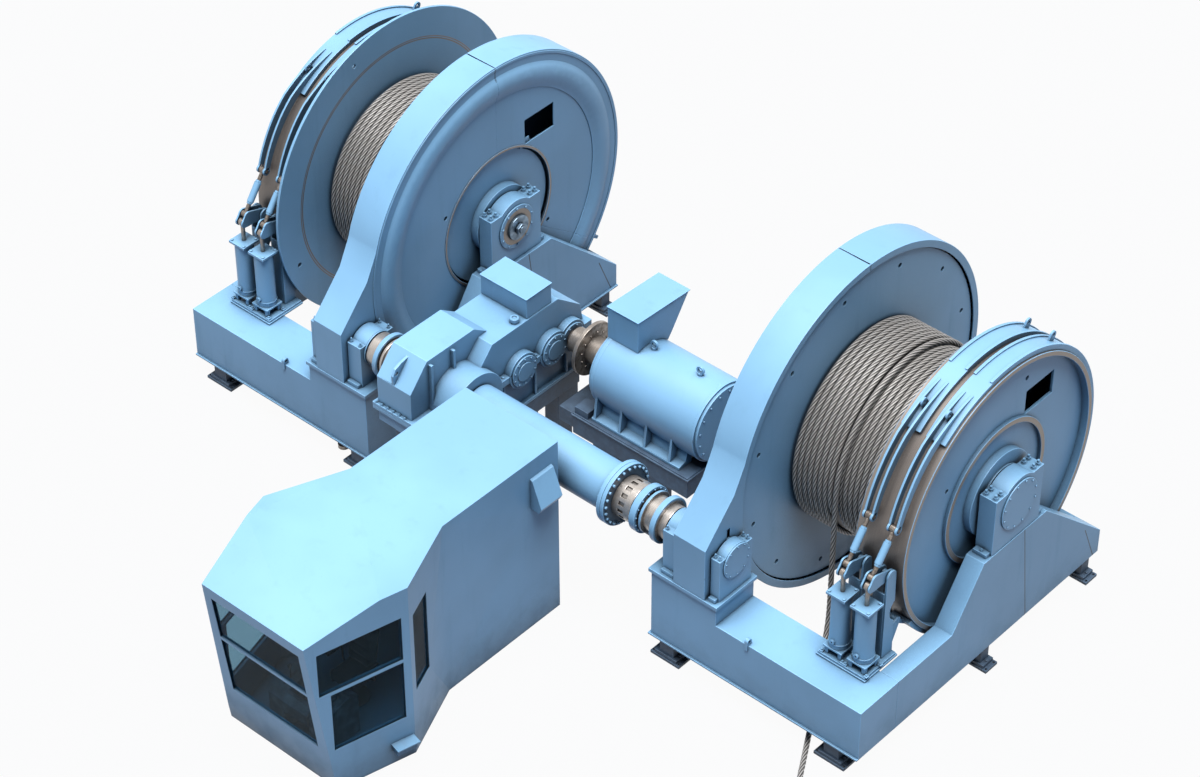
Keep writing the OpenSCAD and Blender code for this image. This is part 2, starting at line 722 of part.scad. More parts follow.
module brake_bands(s) place(s) color(paint) for (x = band_x) {
  slab(x - band_w / 2, x + band_w / 2) translate([drum_y, drum_z]) difference() {
    circle(r = band_r1);
    circle(r = band_r0);
    polygon([[0, 0], polar(4000, 128.5), polar(4000, 170), polar(4000, 212)]);
  }
  // Stiffening bars on the edges of the band
  for (e = [-1, 1]) {
    slab(x + e * (band_w / 2 - 20) - 20, x + e * (band_w / 2 - 20) + 20) translate([drum_y, drum_z]) difference() {
      circle(r = band_r1 + 22);
      circle(r = band_r1 - 2);
      polygon([[0, 0], polar(4000, 100), polar(4000, 170), polar(4000, 240)]);
    }
  }
  // Hanger lugs on top
  for (a = [119, 58]) translate([x, drum_y, drum_z]) rotate([a - 90, 0, 0]) difference() {
    union() {
      translate([-14, -60, band_r1 - 10]) cube([28, 120, 90]);
      translate([-14, 0, band_r1 + 80]) rotate([0, 90, 0]) cylinder(r = 60, h = 28);
    }
    translate([-15, 0, band_r1 + 84]) rotate([0, 90, 0]) cylinder(r = 26, h = 30);
  }
  // Fork blades that reach down to the tie rod
  for (e = [-1, 1]) {
    slab(x + e * 60 - 15, x + e * 60 + 15) difference() {
      union() {
        polygon(concat(
          [for (a = [108 : 3 : 162]) at_drum(fork_out(a), a)],
          [for (a = [162 : -3 : 108]) at_drum(band_r1 - 2 + 14 * max(0, (a - 128) / 34), a)]
        ));
        translate(tie_top) circle(r = 62);
      }
      translate(tie_top) rotate(tie_angle) slot2(pin_r + 3, 8, 34);
    }
  }
  // Anchor tongue at the fixed end
  slab(x - 40, x + 40) difference() {
    union() {
      polygon([at_drum(band_r1 - 20, 218), at_drum(band_r1 - 20, 212), anchor + [-30, 36], anchor + [-38, -32]]);
      translate(anchor) circle(r = 50);
    }
    translate(anchor) circle(r = pin_r + run_gap);
  }
}

// Stand with base plate, lever brackets and band anchors
plate_x0 = wind_x1 - 10;
plate_x1 = beam_out0 - part_gap;

module brake_stand(s) place(s) color(paint) {
  block(plate_x0, plate_x1, 450, 1110, beam_top, beam_top + 30);
  block(plate_x0 + 15, plate_x1 - 15, 465, 1095, beam_top + 30, brake_z);
  for (x = band_x) {
    for (i = [-1, 1], y = [500, 780]) {
      translate([x + i * 165 - 28, y - 28, brake_z]) cube([56, 56, 24]);
      translate([x + i * 165, y, brake_z + 24]) cylinder(r = 15, h = 16);
    }
    for (e = [-1, 1]) {
      // Lever bracket and band anchor in one curved plate
      slab(x + e * 92 - 14, x + e * 92 + 14) difference() {
        union() {
          polygon([[880, brake_z], [1095, brake_z], [1075, pivot[1]], [895, pivot[1]]]);
          translate(pivot) circle(r = 90);
        }
        translate([1190, brake_z + 700]) circle(r = 200);
        translate(pivot) circle(r = pin_r + run_gap);
      }
      slab(x + e * 58 - 14, x + e * 58 + 14) difference() {
        union() {
          polygon([[905, brake_z], [1095, brake_z], anchor + [45, -28], anchor + [0, 54], [905, brake_z + 330]]);
          translate(anchor) circle(r = 54);
        }
        translate(anchor) circle(r = pin_r + run_gap);
      }
    }
    // Cross gusset between the bracket plates
    block(x - 78, x + 78, 880, 905, brake_z, pivot[1] - 250);
    bar(x - 74, x + 74, pin_r, anchor[0], anchor[1]);
  }
}

module brake_cylinders(s) place(s) color(paint) for (x = band_x) {
  difference() {
    union() {
      // Posts, foot flange, barrel and head flange
      for (i = [-1, 1], j = [-1, 1]) {
        translate([x + i * 105 - 28, cyl_y + j * 105 - 28, brake_z]) cube([56, 56, 108]);
      }
      translate([x - 150, cyl_y - 150, brake_z + 108]) cube([300, 300, 30]);
      translate([x, cyl_y, cyl_z0]) cylinder(r = cyl_r, h = cyl_h);
      translate([x, cyl_y, cyl_z0 + 60]) cylinder(r = cyl_r + 8, h = 26);
      translate([x - 150, cyl_y - 150, cyl_z1]) cube([300, 300, 40]);
      // Pressure port
      translate([x, cyl_y - cyl_r - 30, cyl_z0 + 130]) rotate([-90, 0, 0]) cylinder(r = 34, h = 60);
    }
    translate([x, cyl_y, cyl_z0 + 40]) cylinder(r = cyl_r - 28, h = cyl_h - 60);
    translate([x, cyl_y, cyl_z1 - 40]) cylinder(r = rod_r + run_gap, h = 120);
    translate([x, cyl_y - cyl_r - 31, cyl_z0 + 130]) rotate([-90, 0, 0]) cylinder(r = 12, h = 80);
  }
  for (i = [-1, 1], j = [-1, 1]) bolt_up(x + i * 118, cyl_y + j * 118, cyl_z1 + 40, 22);
}

module piston_rods(s) place(s) color(steel) for (x = band_x) {
  translate([x, cyl_y, cyl_z0 + 152]) cylinder(r = cyl_r - 28 - run_gap, h = 98);
  translate([x, cyl_y, cyl_z0 + 250]) cylinder(r = rod_r, h = rod_pin[1] - 50 - cyl_z0 - 250);
  slab(x - 30, x + 30) difference() {
    union() {
      translate(rod_pin) circle(r = 56);
      translate(rod_pin - [rod_r, 60]) square([2 * rod_r, 60]);
    }
    translate(rod_pin) slot2(pin_r + 0.3, 5, 5);
  }
}

module brake_levers(s) place(s) color(paint) for (x = band_x) {
  for (e = [-1, 1]) {
    slab(x + e * 56 - 12, x + e * 56 + 12) union() {
      translate(pivot) circle(r = 84);
      translate(rod_pin) circle(r = 70);
      translate(tie_low) circle(r = 66);
      polygon([
        pivot + [8, 84], tie_low + [28, 60], tie_low + [-40, 50], rod_pin + [-66, 24], rod_pin + [-40, -58],
        rod_pin + [40, -76], pivot + [-60, -62], pivot + [0, -84]
      ]);
    }
  }
  bar(x - 108, x + 108, pin_r, pivot[0], pivot[1]);
  bar(x - 44, x + 44, pin_r, rod_pin[0], rod_pin[1]);
  bar(x - 44, x + 44, pin_r, tie_low[0], tie_low[1]);
  bar(x - 30, x + 30, 48, pivot[0], pivot[1]);
}

module tie_rods(s) place(s) color(steel) for (x = band_x) {
  // Eyes
  slab(x - 40, x + 40) difference() {
    translate(tie_low) circle(r = 50);
    translate(tie_low) circle(r = pin_r + run_gap);
  }
  slab(x - 40, x + 40) translate(tie_top) circle(r = 50);
  bar(x - 80, x + 80, pin_r, tie_top[0], tie_top[1]);
  translate([x, tie_low[0], tie_low[1]]) rotate([tie_angle - 90, 0, 0]) {
    translate([0, 0, 44]) cylinder(r = 30, h = tie_len - 88);
    // Turnbuckle sleeve with two lock nuts
    translate([0, 0, 190]) cylinder(r = 50, h = tie_len - 380);
    for (z = [160, tie_len - 190]) translate([0, 0, z]) cylinder(r = 46, h = 30, $fn = 6);
  }
}

// Shaft line between the two drum frames
module output_shaft() place() color(steel) {
  bar(-line_x1, tube_x0, neck_r, shaft_y, shaft_z);
  bar(-2470, -2400, 330, shaft_y, shaft_z);
  bar(-2380, -2340, 285, shaft_y, shaft_z);
}

module torque_tube() place() color(paint) {
  difference() {
    bar(tube_x0, tube_x1, tube_r, shaft_y, shaft_z);
    bar(tube_x0 + 40, tube_x1 + 1, tube_r - 30, shaft_y, shaft_z);
  }
  bar(tube_x1, tube_x1 + 50, tube_r + 20, shaft_y, shaft_z);
  bar(tube_x1 + 50, hub_x0 - 60, tube_flange_r, shaft_y, shaft_z);
  bar(hub_x0 - 56, hub_x0, tube_flange_r, shaft_y, shaft_z);
  bar(hub_x0 - 61, hub_x0 - 55, tube_flange_r - 40, shaft_y, shaft_z);
  bolt_ring(hub_x0, shaft_y, shaft_z, tube_flange_r - 44, 24, 22, 30);
  bolt_ring(tube_x1 + 26, shaft_y, shaft_z, tube_flange_r - 44, 24, 22, 26);
}

module coupling_hub() place() color(steel) {
  hub_x1 = hub_x0 + 300;
  difference() {
    bar(hub_x0, hub_x1, 290, shaft_y, shaft_z);
    // Rectangular slots around the hub
    for (i = [0 : 15]) translate([hub_x0 + 150, shaft_y, shaft_z]) rotate([i * 22.5, 0, 0]) {
      translate([-45, -26, 262]) cube([90, 52, 40]);
    }
  }
  bar(hub_x1, line_x1, neck_r, shaft_y, shaft_z);
  bar(hub_x1 + 35, hub_x1 + 135, 340, shaft_y, shaft_z);
  bar(hub_x1 + 165, hub_x1 + 205, 300, shaft_y, shaft_z);
  bar(line_x1 - 190, line_x1 - 110, 330, shaft_y, shaft_z);
  bolt_ring(hub_x1 + 135, shaft_y, shaft_z, 312, 16, 14, 14);
}

// Gearbox
stage_y = [shaft_y + 955, shaft_y + 1559, motor_y];
stage_r = [235, 235, 220];
boss_x = gx1 + 110;
hood_x1 = gx0 + hood_w;
case_end = motor_y + 350;

module shaft_bores() {
  bar(gx0 - 200, gx1 + 300, neck_r + run_gap, shaft_y, shaft_z);
  bar(gx0 + 300, gx1 + 300, input_r + run_gap, motor_y, shaft_z);
}

module gearbox_upper() place() color(paint) difference() {
  union() {
    // Front hood round the output gear
    slab(gx0, hood_x1) polygon([
      [shaft_y - hood_r, split_z], [shaft_y - hood_r, split_z + 490], [shaft_y - hood_r + 330, split_z + 865],
      [shaft_y + 395, split_z + 865], [shaft_y + 680, split_z + 660], [shaft_y + 900, split_z]
    ]);
    // Main case
    slab(gx0 + 10, gx1) polygon([
      [shaft_y + 60, split_z], [shaft_y + 190, split_z + 380], [shaft_y + 475, split_z + 685],
      [motor_y - 150, split_z + 685], [case_end - 60, split_z + 330], [case_end, split_z]
    ]);
    // Flange along the split
    slab(gx0 - 60, boss_x - 8) translate([shaft_y - hood_r - 50, split_z]) square([case_end - shaft_y + hood_r + 110, 50]);
    // Bearing bosses
    intersection() {
      union() {
        bar(hood_x1 - 10, gx1 + 155, 500, shaft_y, shaft_z);
        bar(gx0 - 110, gx0, 420, shaft_y, shaft_z);
        for (i = [0 : 2]) bar(gx1, boss_x, stage_r[i] + 36, stage_y[i], shaft_z);
      }
      block(gx0 - 200, gx1 + 200, shaft_y - 900, case_end + 200, split_z, split_z + 900);
    }
    // Ribs on the hood and lifting eyes
    for (y = [shaft_y - 480, shaft_y - 60]) block(hood_x1, hood_x1 + 60, y, y + 40, split_z + 50, split_z + 800);
    difference() {
      slab(gx0 + 280, gx0 + 320) polygon([
        [shaft_y - hood_r + 4, split_z + 480], [shaft_y - hood_r - 14, split_z + 650],
        [shaft_y - hood_r + 40, split_z + 745], [shaft_y - hood_r + 150, split_z + 790], [shaft_y - hood_r + 300, split_z + 820]
      ]);
      bar(gx0 + 270, gx0 + 330, 32, shaft_y - hood_r + 60, split_z + 660);
    }
    translate([(hood_x1 + gx1) / 2 + 20, motor_y - 900, split_z + 680]) cylinder(r = 60, h = 60);
  }
  shaft_bores();
}

module gearbox_lower() place() color(paint) difference() {
  union() {
    slab(gx0, gx1) polygon([
      [shaft_y - hood_r, split_z], [shaft_y - hood_r, split_z - 260], [shaft_y - hood_r + 330, case_z + 60],
      [case_end - 150, case_z + 60], [case_end, split_z - 300], [case_end, split_z]
    ]);
    slab(gx0 - 60, boss_x - 8) translate([shaft_y - hood_r - 50, split_z - 60]) square([case_end - shaft_y + hood_r + 110, 60]);
    slab(gx0 - 40, gx1 + 60) translate([plinth_y0, case_z]) square([plinth_y1 - plinth_y0, 60]);
    intersection() {
      union() {
        bar(gx1 - 10, gx1 + 155, 500, shaft_y, shaft_z);
        bar(gx0 - 110, gx0, 420, shaft_y, shaft_z);
        for (i = [0 : 2]) bar(gx1, boss_x, stage_r[i] + 36, stage_y[i], shaft_z);
      }
      block(gx0 - 200, gx1 + 200, shaft_y - 900, case_end + 200, split_z - 560, split_z);
    }
    // Vertical ribs of the lower case
    for (y = [shaft_y + 620, shaft_y + 1240, motor_y - 60]) block(gx1, gx1 + 50, y, y + 36, case_z + 60, split_z - 60);
  }
  shaft_bores();
}

module gearbox_caps() place() color(paint) {
  difference() {
    union() {
      for (i = [0 : 1]) {
        end_cover(boss_x, stage_y[i], shaft_z, stage_r[i], 26, 10, 16);
        bar(boss_x + 26, boss_x + 40, stage_r[i] * 0.62, stage_y[i], shaft_z);
      }
      end_cover(boss_x, motor_y, shaft_z, stage_r[2], 26, 8, 16);
    }
    bar(boss_x - 1, boss_x + 50, input_r + 2, motor_y, shaft_z);
  }
  // Split line bolts
  for (y = [shaft_y - 700, shaft_y - 600, shaft_y + 610, shaft_y + 1257]) bolt_up(gx1 + 50, y, split_z + 50, 24);
  for (k = [0 : 5]) bolt_up(gx0 - 34, shaft_y + 520 + k * 300, split_z + 50, 22);
}

module lube_box() place() color(paint) {
  difference() {
    block(gx0 + 10, gx1 - 20, motor_y - 750, motor_y - 260, split_z + 685, split_z + 1005);
    block(gx0 + 30, gx1 - 40, motor_y - 730, motor_y - 280, split_z + 705, split_z + 985);
  }
  block(gx0, gx1 - 10, motor_y - 760, motor_y - 250, split_z + 1005, split_z + 1020);
}

module gearbox_plinth() place() color(paint_dark) {
  for (x = [plinth_x0, plinth_x1 - 320]) {
    block(x, x + 320, plinth_y0, plinth_y1, case_z - 260, case_z);
    for (y = [plinth_y0, plinth_y1 - 400]) block(x + 30, x + 290, y, y + 400, foot_h, case_z - 260);
  }
  for (y = [plinth_y0, plinth_y1 - 240]) block(plinth_x0 + 320, plinth_x1 - 320, y, y + 240, case_z - 240, case_z - 10);
}

// Motor
motor_x1 = motor_x0 + motor_len;
motor_arc = sqrt(motor_r * motor_r - 330 * 330);

module motor_housing() place() color(paint) {
  difference() {
    union() {
      bar(motor_x0 + 60, motor_x1 - 40, motor_r, motor_y, shaft_z);
      // End shields
      bar(motor_x0, motor_x0 + 60, motor_r - 40, motor_y, shaft_z);
      bar(motor_x1 - 40, motor_x1, motor_r - 30, motor_y, shaft_z);
      bar(motor_x0 - 60, motor_x0, 300, motor_y, shaft_z);
      for (x = [motor_x0 + 60, motor_x1 - 90]) bar(x, x + 50, motor_r + 4, motor_y, shaft_z);
      // Feet with gussets on both sides
      for (e = [-1, 1]) {
        slab(motor_x0 + 100, motor_x1 - 250) polygon([
          [motor_y + e * 350, base_top], [motor_y + e * 610, base_top], [motor_y + e * 610, base_top + 50],
          [motor_y + e * 480, base_top + 80], [motor_y + e * 430, shaft_z - 330], [motor_y + e * 350, shaft_z - 330]
        ]);
        for (x = [motor_x0 + 130 : 440 : motor_x1 - 300]) {
          slab(x, x + 36) polygon([
            [motor_y + e * 400, base_top + 20], [motor_y + e * 610, base_top + 20], [motor_y + e * 560, shaft_z - 160],
            [motor_y + e * 400, shaft_z - 160]
          ]);
        }
      }
      // Lifting lugs
      for (x = [motor_x0 + 680, motor_x1 - 420]) translate([x, motor_y, shaft_z + motor_r]) {
        translate([0, 0, -20]) cylinder(r = 40, h = 60);
        translate([0, 16, 80]) rotate([90, 0, 0]) difference() {
          cylinder(r = 62, h = 32);
          translate([0, 0, -1]) cylinder(r = 34, h = 34);
        }
      }
    }
    bar(motor_x0 - 61, motor_x0 + 160, input_r + run_gap, motor_y, shaft_z);
  }
  bolt_ring(motor_x1, motor_y, shaft_z, motor_r - 90, 16, 18, 12);
}

box_x0 = motor_x0 + 25;
box_x1 = box_x0 + 535;
box_z = shaft_z + motor_r;

// Terminal box whose rear wall leans in at the foot
module terminal_box() place() color(paint) difference() {
  union() {
    slab(box_x0, box_x1) difference() {
      polygon([
        [motor_y - 195, shaft_z + 400], [motor_y - 195, box_z + 480], [motor_y + 835, box_z + 430],
        [motor_y + 500, box_z - 60], [motor_y + 400, shaft_z + 400]
      ]);
      translate([motor_y, shaft_z]) circle(r = motor_r + 4);
    }
    slab(box_x0 - 12, box_x1 + 12) polygon([
      [motor_y - 207, box_z + 480], [motor_y - 207, box_z + 496], [motor_y + 850, box_z + 444], [motor_y + 850, box_z + 428]
    ]);
  }
  slab(box_x0 + 16, box_x1 - 16) polygon([
    [motor_y - 180, box_z + 20], [motor_y - 180, box_z + 462], [motor_y + 800, box_z + 415], [motor_y + 520, box_z + 20]
  ]);
}

disc_x = -530;

module motor_shaft() place() color(steel) {
  bar(gx1 - 180, motor_x0 + 150, input_r, motor_y, shaft_z);
  bar(gx1 + 190, disc_x, 185, motor_y, shaft_z);
  bar(disc_x, disc_x + 60, disc_r, motor_y, shaft_z);
  bar(disc_x + 60, motor_x0 - 120, 200, motor_y, shaft_z);
  bolt_ring(disc_x + 60, motor_y, shaft_z, 262, 12, 16, 14);
}

// Base frame of the motor
module motor_base() place() color(paint_dark) {
  // Top frame
  for (y = [base_y0, base_y1 - 300]) {
    block(base_x0, base_x1, y, y + 300, base_top - 350, base_top);
    block(base_x0 - 20, base_x1 + 20, y - 20, y + 320, base_top - 40, base_top - 16);
    for (x = leg_x) block(x, x + leg_w, y + 10, y + 290, foot_h, base_top - 350);
  }
  for (x = [base_x0, base_x1 - 260]) block(x, x + 260, base_y0 + 300, base_y1 - 300, base_top - 330, base_top - 30);
  // Raised block at the gearbox end and sole plates under the motor feet
  block(base_x0 + 20, motor_x0 + 60, base_y0 + 20, base_y0 + 260, base_top, base_top + 110);
  // Brake caliper bracket beside the disc
  block(base_x0 - 300, base_x0, base_y0 + 60, base_y1 - 60, base_top - 330, base_top - 80);
  for (x = [disc_x - 34, disc_x + 64]) {
    slab(x, x + 30) polygon([
      [motor_y + 60, base_top - 80], [motor_y + 480, base_top - 80], [motor_y + 420, shaft_z + 60],
      [motor_y + 310, shaft_z + 60], [motor_y + 310, shaft_z - 240]
    ]);
  }
}

// Control cabin
cab_back_h = cab_back_w / 2;
cab_wide_h = cab_wide_w / 2;
cab_front_h = cab_front_w / 2;
front_lean = 285;
roof_drop = 260;
roof_bend = cab_wide - 380;

module cab_plan(t) {
  polygon([for (e = [1, -1], k = [0 : 3]) let (
    n = e > 0 ? k : 3 - k,
    hx = [cab_back_h - t, cab_back_h - t, cab_wide_h - 1.2 * t, cab_front_h - 1.1 * t],
    y = [cab_back - t, cab_bend - 0.2 * t, cab_wide, cab_front]
  ) [cab_x + e * hx[n], y[n]]]);
}

module cab_side(t) {
  polygon([
    [cab_back + 1, t], [cab_back + 1, cab_h - t], [roof_bend, cab_h - t], [cab_front + 1.1 * t, cab_h - roof_drop - 1.1 * t],
    [cab_front + front_lean + t, 240 + 0.1 * t], [cab_front + front_lean + 40 + t, t]
  ]);
}

module cab_body(t) intersection() {
  linear_extrude(cab_h) cab_plan(t);
  slab(cab_x - 2000, cab_x + 2000) cab_side(t);
}

// Upright panel in a cabin wall that runs from p to q, between two distances
module wall_panel(p, q, a, b, z0, z1, d, off) {
  v = q - p;
  translate([p[0], p[1], z0]) rotate([0, 0, atan2(v[1], v[0])]) translate([a, off - d / 2, 0]) cube([b - a, d, z1 - z0]);
}

wall_b = [cab_x + cab_back_h, cab_bend];
wall_w = [cab_x + cab_wide_h, cab_wide];
wall_f = [cab_x + cab_front_h, cab_front];
flare_len = norm(wall_w - wall_b);
nose_len = norm(wall_f - wall_w);
sill_z = 700;
transom_z = 1660;
head_z = cab_h - roof_drop - 190;
pane_half = cab_front_h - wall_t - 60;
door_y1 = cab_bend + 1100;
door_w = 760;
door_h = 2050;
door_x = cab_x - cab_back_h;

// Window panels, as cut-outs when d is large or as panes when d is small
module windows(d, off) {
  for (e = [1, -1]) translate([cab_x, 0, 0]) scale_side(e) translate([-cab_x, 0, 0]) {
    wall_panel(wall_b, wall_w, flare_len * 0.52, flare_len * 0.9, 1000, 2300, d, off);
    wall_panel(wall_w, wall_f, 110, nose_len - 330, sill_z, transom_z, d, off);
    wall_panel(wall_w, wall_f, 110, nose_len - 170, transom_z + 50, head_z, d, off);
  }
}

module scale_side(e) {
  if (e < 0) mirror([1, 0, 0]) children();
  else children();
}

function front_y(z) = cab_front + front_lean * (cab_h - roof_drop - z) / (cab_h - roof_drop - 240);

// Leaning panel in the front wall, between two depths behind its face
module front_panel(z0, z1, a, b) {
  slab(cab_x - pane_half, cab_x + pane_half) polygon([
    [front_y(z0) + a, z0], [front_y(z1) + a, z1], [front_y(z1) + b, z1], [front_y(z0) + b, z0]
  ]);
}

module cabin_shell() place() color(paint) {
  difference() {
    cab_body(0);
    cab_body(wall_t);
    windows(wall_t * 4, -wall_t / 2);
    front_panel(sill_z, transom_z, -60, wall_t * 2);
    front_panel(transom_z + 50, head_z, -60, wall_t * 2);
    block(door_x - 1, door_x + wall_t + 40, door_y1 - door_w, door_y1, 120, 120 + door_h);
  }
  // Ventilation hood high on the side and lamp box with its canopy low at the front
  slab_hood();
  wall_panel(wall_w, wall_f, 40, 330, 215, 330, 130, 50);
  wall_panel(wall_w, wall_f, 20, 350, 330, 350, 190, 70);
  // Hinge knuckles of the door
  for (z = hinge_z) difference() {
    knuckle(z, 60, 1);
    translate([door_x - 16, door_y1, z - 1]) cylinder(r = 7 + run_gap, h = 62);
  }
  // Grab rail beside the door
  for (z = [900, 1900]) block(door_x - 60, door_x, door_y1 + 90, door_y1 + 120, z, z + 30);
  translate([door_x - 60, door_y1 + 105, 860]) cylinder(r = 17, h = 1110);
}

module slab_hood() translate([cab_x + cab_back_h, 0, 0]) {
  translate([0, cab_back - 130, 0]) rotate([90, 0, 0]) linear_extrude(400) polygon([
    [-1, 2080], [-1, 2580], [40, 2560], [190, 2160], [150, 2080]
  ]);
}

module cabin_glass() place() color(glass_tint) {
  windows(12, -wall_t / 2);
  front_panel(sill_z, transom_z, 24, 36);
  front_panel(transom_z + 50, head_z, 24, 36);
}

door_gap = 5;

hinge_z = [460, 1700];

// One knuckle of the door hinges on the outer face of the wall
module knuckle(z, h, side) {
  translate([door_x - 16, door_y1, z]) cylinder(r = 16, h = h);
  block(door_x - 16, door_x, min(door_y1, door_y1 + side * 90), max(door_y1, door_y1 + side * 90), z, z + h);
}

module cabin_door() place() color(paint) {
  for (z = hinge_z) {
    knuckle(z + 60 + seat_gap, 60, -1);
    translate([door_x - 16, door_y1, z]) cylinder(r = 7, h = 70);
  }
  difference() {
    block(door_x, door_x + 45, door_y1 - door_w + door_gap, door_y1 - door_gap, 120 + door_gap, 120 + door_h - door_gap);
    block(door_x - 1, door_x + 50, door_y1 - door_w + 170, door_y1 - 170, 1150, 1900);
  }
  color(glass_tint) block(door_x + 16, door_x + 28, door_y1 - door_w + 170, door_y1 - 170, 1150, 1900);
  // Handle
  for (z = [1000, 1100]) block(door_x - 40, door_x, door_y1 - door_w + 60, door_y1 - door_w + 80, z, z + 20);
  block(door_x - 52, door_x - 40, door_y1 - door_w + 55, door_y1 - door_w + 85, 980, 1140);
}

seat_y = cab_wide + 150;
floor_z = wall_t;

module operator_seat() place() color("#3b4046") {
  translate([cab_x, seat_y, floor_z]) {
    cylinder(r = 210, h = 30);
    translate([0, 0, 30]) cylinder(r = 60, h = 300);
    translate([-200, -200, 330]) cube([400, 400, 40]);
    // Cushion and back with rounded corners
    translate([0, 0, 370]) linear_extrude(110) round_box(480, 480, 60);
    translate([0, 200, 460]) rotate([80, 0, 0]) linear_extrude(100) translate([0, 330]) round_box(460, 640, 70);
    for (e = [-1, 1]) {
      translate([e * 290 - 35, -160, 640]) cube([70, 330, 50]);
      translate([e * 290 - 20, 90, 380]) cube([40, 60, 260]);
      translate([e < 0 ? -290 : 190, 100, 380]) cube([100, 40, 40]);
    }
  }
}

module round_box(w, d, r) {
  for (i = [-1, 1], j = [-1, 1]) translate([i * (w / 2 - r), j * (d / 2 - r)]) circle(r = r);
  square([w - 2 * r, d], center = true);
  square([w, d - 2 * r], center = true);
}

desk_y = cab_wide - 560;
lever_x = [-360, 360];

module console() place() color("#5b6a78") translate([cab_x, 0, floor_z]) {
  for (e = lever_x) {
    difference() {
      slab(e - 130, e + 130) polygon([
        [desk_y - 300, 0], [desk_y + 330, 0], [desk_y + 330, 640], [desk_y + 180, 700], [desk_y - 240, 600], [desk_y - 300, 520]
      ]);
      // Lever slot in the desk top
      block(e - 14, e + 14, desk_y - 140, desk_y + 100, 480, 720);
      bar(e - 60, e + 60, 12 + run_gap, desk_y - 20, 540);
    }
  }
  // Instrument boxes on a shelf between the desks
  slab(-230, 230) polygon([
    [desk_y - 330, 380], [desk_y - 170, 380], [desk_y - 170, 620], [desk_y - 240, 640], [desk_y - 330, 560]
  ]);
}

module control_lever(s) place() color("#2c2f33") translate([cab_x + s * lever_x[1], 0, floor_z]) {
  bar(-60, 60, 12, desk_y - 20, 540);
  translate([0, desk_y - 20, 540]) cylinder(r = 9, h = 290);
  translate([0, desk_y - 20, 850]) sphere(r = 32, $fn = 32);
  slab(-11, 11) translate([desk_y - 20, 540]) circle(r = 26);
}

front_beam(-1);  // front_beam_left
inner_beam(-1);  // inner_beam_left
outer_beam(-1);  // outer_beam_left
guard_front(-1);  // guard_front_left
guard_rear(-1);  // guard_rear_left
pinion_bearings(-1);  // pinion_bearings_left
drum_bearings(-1);  // drum_bearings_left
brake_bands(-1);  // brake_bands_left
brake_stand(-1);  // brake_stand_left
brake_cylinders(-1);  // brake_cylinders_left
piston_rods(-1);  // piston_rods_left
brake_levers(-1);  // brake_levers_left
tie_rods(-1);  // tie_rods_left
drum(-1);  // drum_left
ring_gear(-1);  // ring_gear_left
drum_shaft(-1);  // drum_shaft_left
winding(-1);  // winding_left
free_rope(-1);  // free_rope_left
front_beam(1);  // front_beam_right
inner_beam(1);  // inner_beam_right
outer_beam(1);  // outer_beam_right
guard_front(1);  // guard_front_right
guard_rear(1);  // guard_rear_right
pinion_bearings(1);  // pinion_bearings_right
drum_bearings(1);  // drum_bearings_right
brake_bands(1);  // brake_bands_right
brake_stand(1);  // brake_stand_right
brake_cylinders(1);  // brake_cylinders_right
piston_rods(1);  // piston_rods_right
brake_levers(1);  // brake_levers_right
tie_rods(1);  // tie_rods_right
drum(1);  // drum_right
ring_gear(1);  // ring_gear_right
drum_shaft(1);  // drum_shaft_right
winding(1);  // winding_right
free_rope(1);  // free_rope_right
rear_beams();
feet();
bearing_covers();
rope_sockets();
pinions();
output_shaft();
torque_tube();
coupling_hub();
gearbox_lower();
gearbox_upper();
gearbox_caps();
lube_box();
motor_housing();
terminal_box();
motor_shaft();
gearbox_plinth();
motor_base();
cabin_shell();
cabin_glass();
cabin_door();
operator_seat();
console();
control_lever(-1);  // control_lever_left
control_lever(1);  // control_lever_right
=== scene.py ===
import json
from math import asin, cos, exp, pi, radians, sin
from types import SimpleNamespace

import bmesh
import bpy
from mathutils import Euler, Matrix, Vector

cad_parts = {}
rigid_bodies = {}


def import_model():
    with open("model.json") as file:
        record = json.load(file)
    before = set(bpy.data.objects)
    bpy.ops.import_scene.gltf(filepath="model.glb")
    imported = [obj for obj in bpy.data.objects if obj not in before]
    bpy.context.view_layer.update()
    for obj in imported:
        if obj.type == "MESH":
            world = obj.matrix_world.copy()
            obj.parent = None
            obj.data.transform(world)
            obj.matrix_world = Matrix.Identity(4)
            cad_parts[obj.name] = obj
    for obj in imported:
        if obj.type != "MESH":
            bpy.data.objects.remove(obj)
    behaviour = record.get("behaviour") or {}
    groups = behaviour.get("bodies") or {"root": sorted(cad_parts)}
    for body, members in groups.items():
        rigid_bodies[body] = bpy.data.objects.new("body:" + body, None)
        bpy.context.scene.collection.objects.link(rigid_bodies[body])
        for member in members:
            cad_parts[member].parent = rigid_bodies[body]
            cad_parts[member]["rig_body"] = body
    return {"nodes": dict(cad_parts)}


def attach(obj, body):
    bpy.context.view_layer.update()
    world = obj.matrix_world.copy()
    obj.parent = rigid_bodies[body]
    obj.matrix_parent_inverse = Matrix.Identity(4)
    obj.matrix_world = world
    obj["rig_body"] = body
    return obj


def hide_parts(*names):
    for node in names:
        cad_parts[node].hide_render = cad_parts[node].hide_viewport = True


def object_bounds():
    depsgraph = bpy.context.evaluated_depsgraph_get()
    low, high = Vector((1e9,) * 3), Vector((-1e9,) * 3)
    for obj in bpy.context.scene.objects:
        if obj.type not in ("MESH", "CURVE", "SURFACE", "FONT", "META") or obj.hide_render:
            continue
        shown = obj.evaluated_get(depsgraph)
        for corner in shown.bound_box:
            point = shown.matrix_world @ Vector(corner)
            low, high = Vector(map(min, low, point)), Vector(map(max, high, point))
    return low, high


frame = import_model()
cad_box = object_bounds()
parts = frame["nodes"]
scene = bpy.context.scene

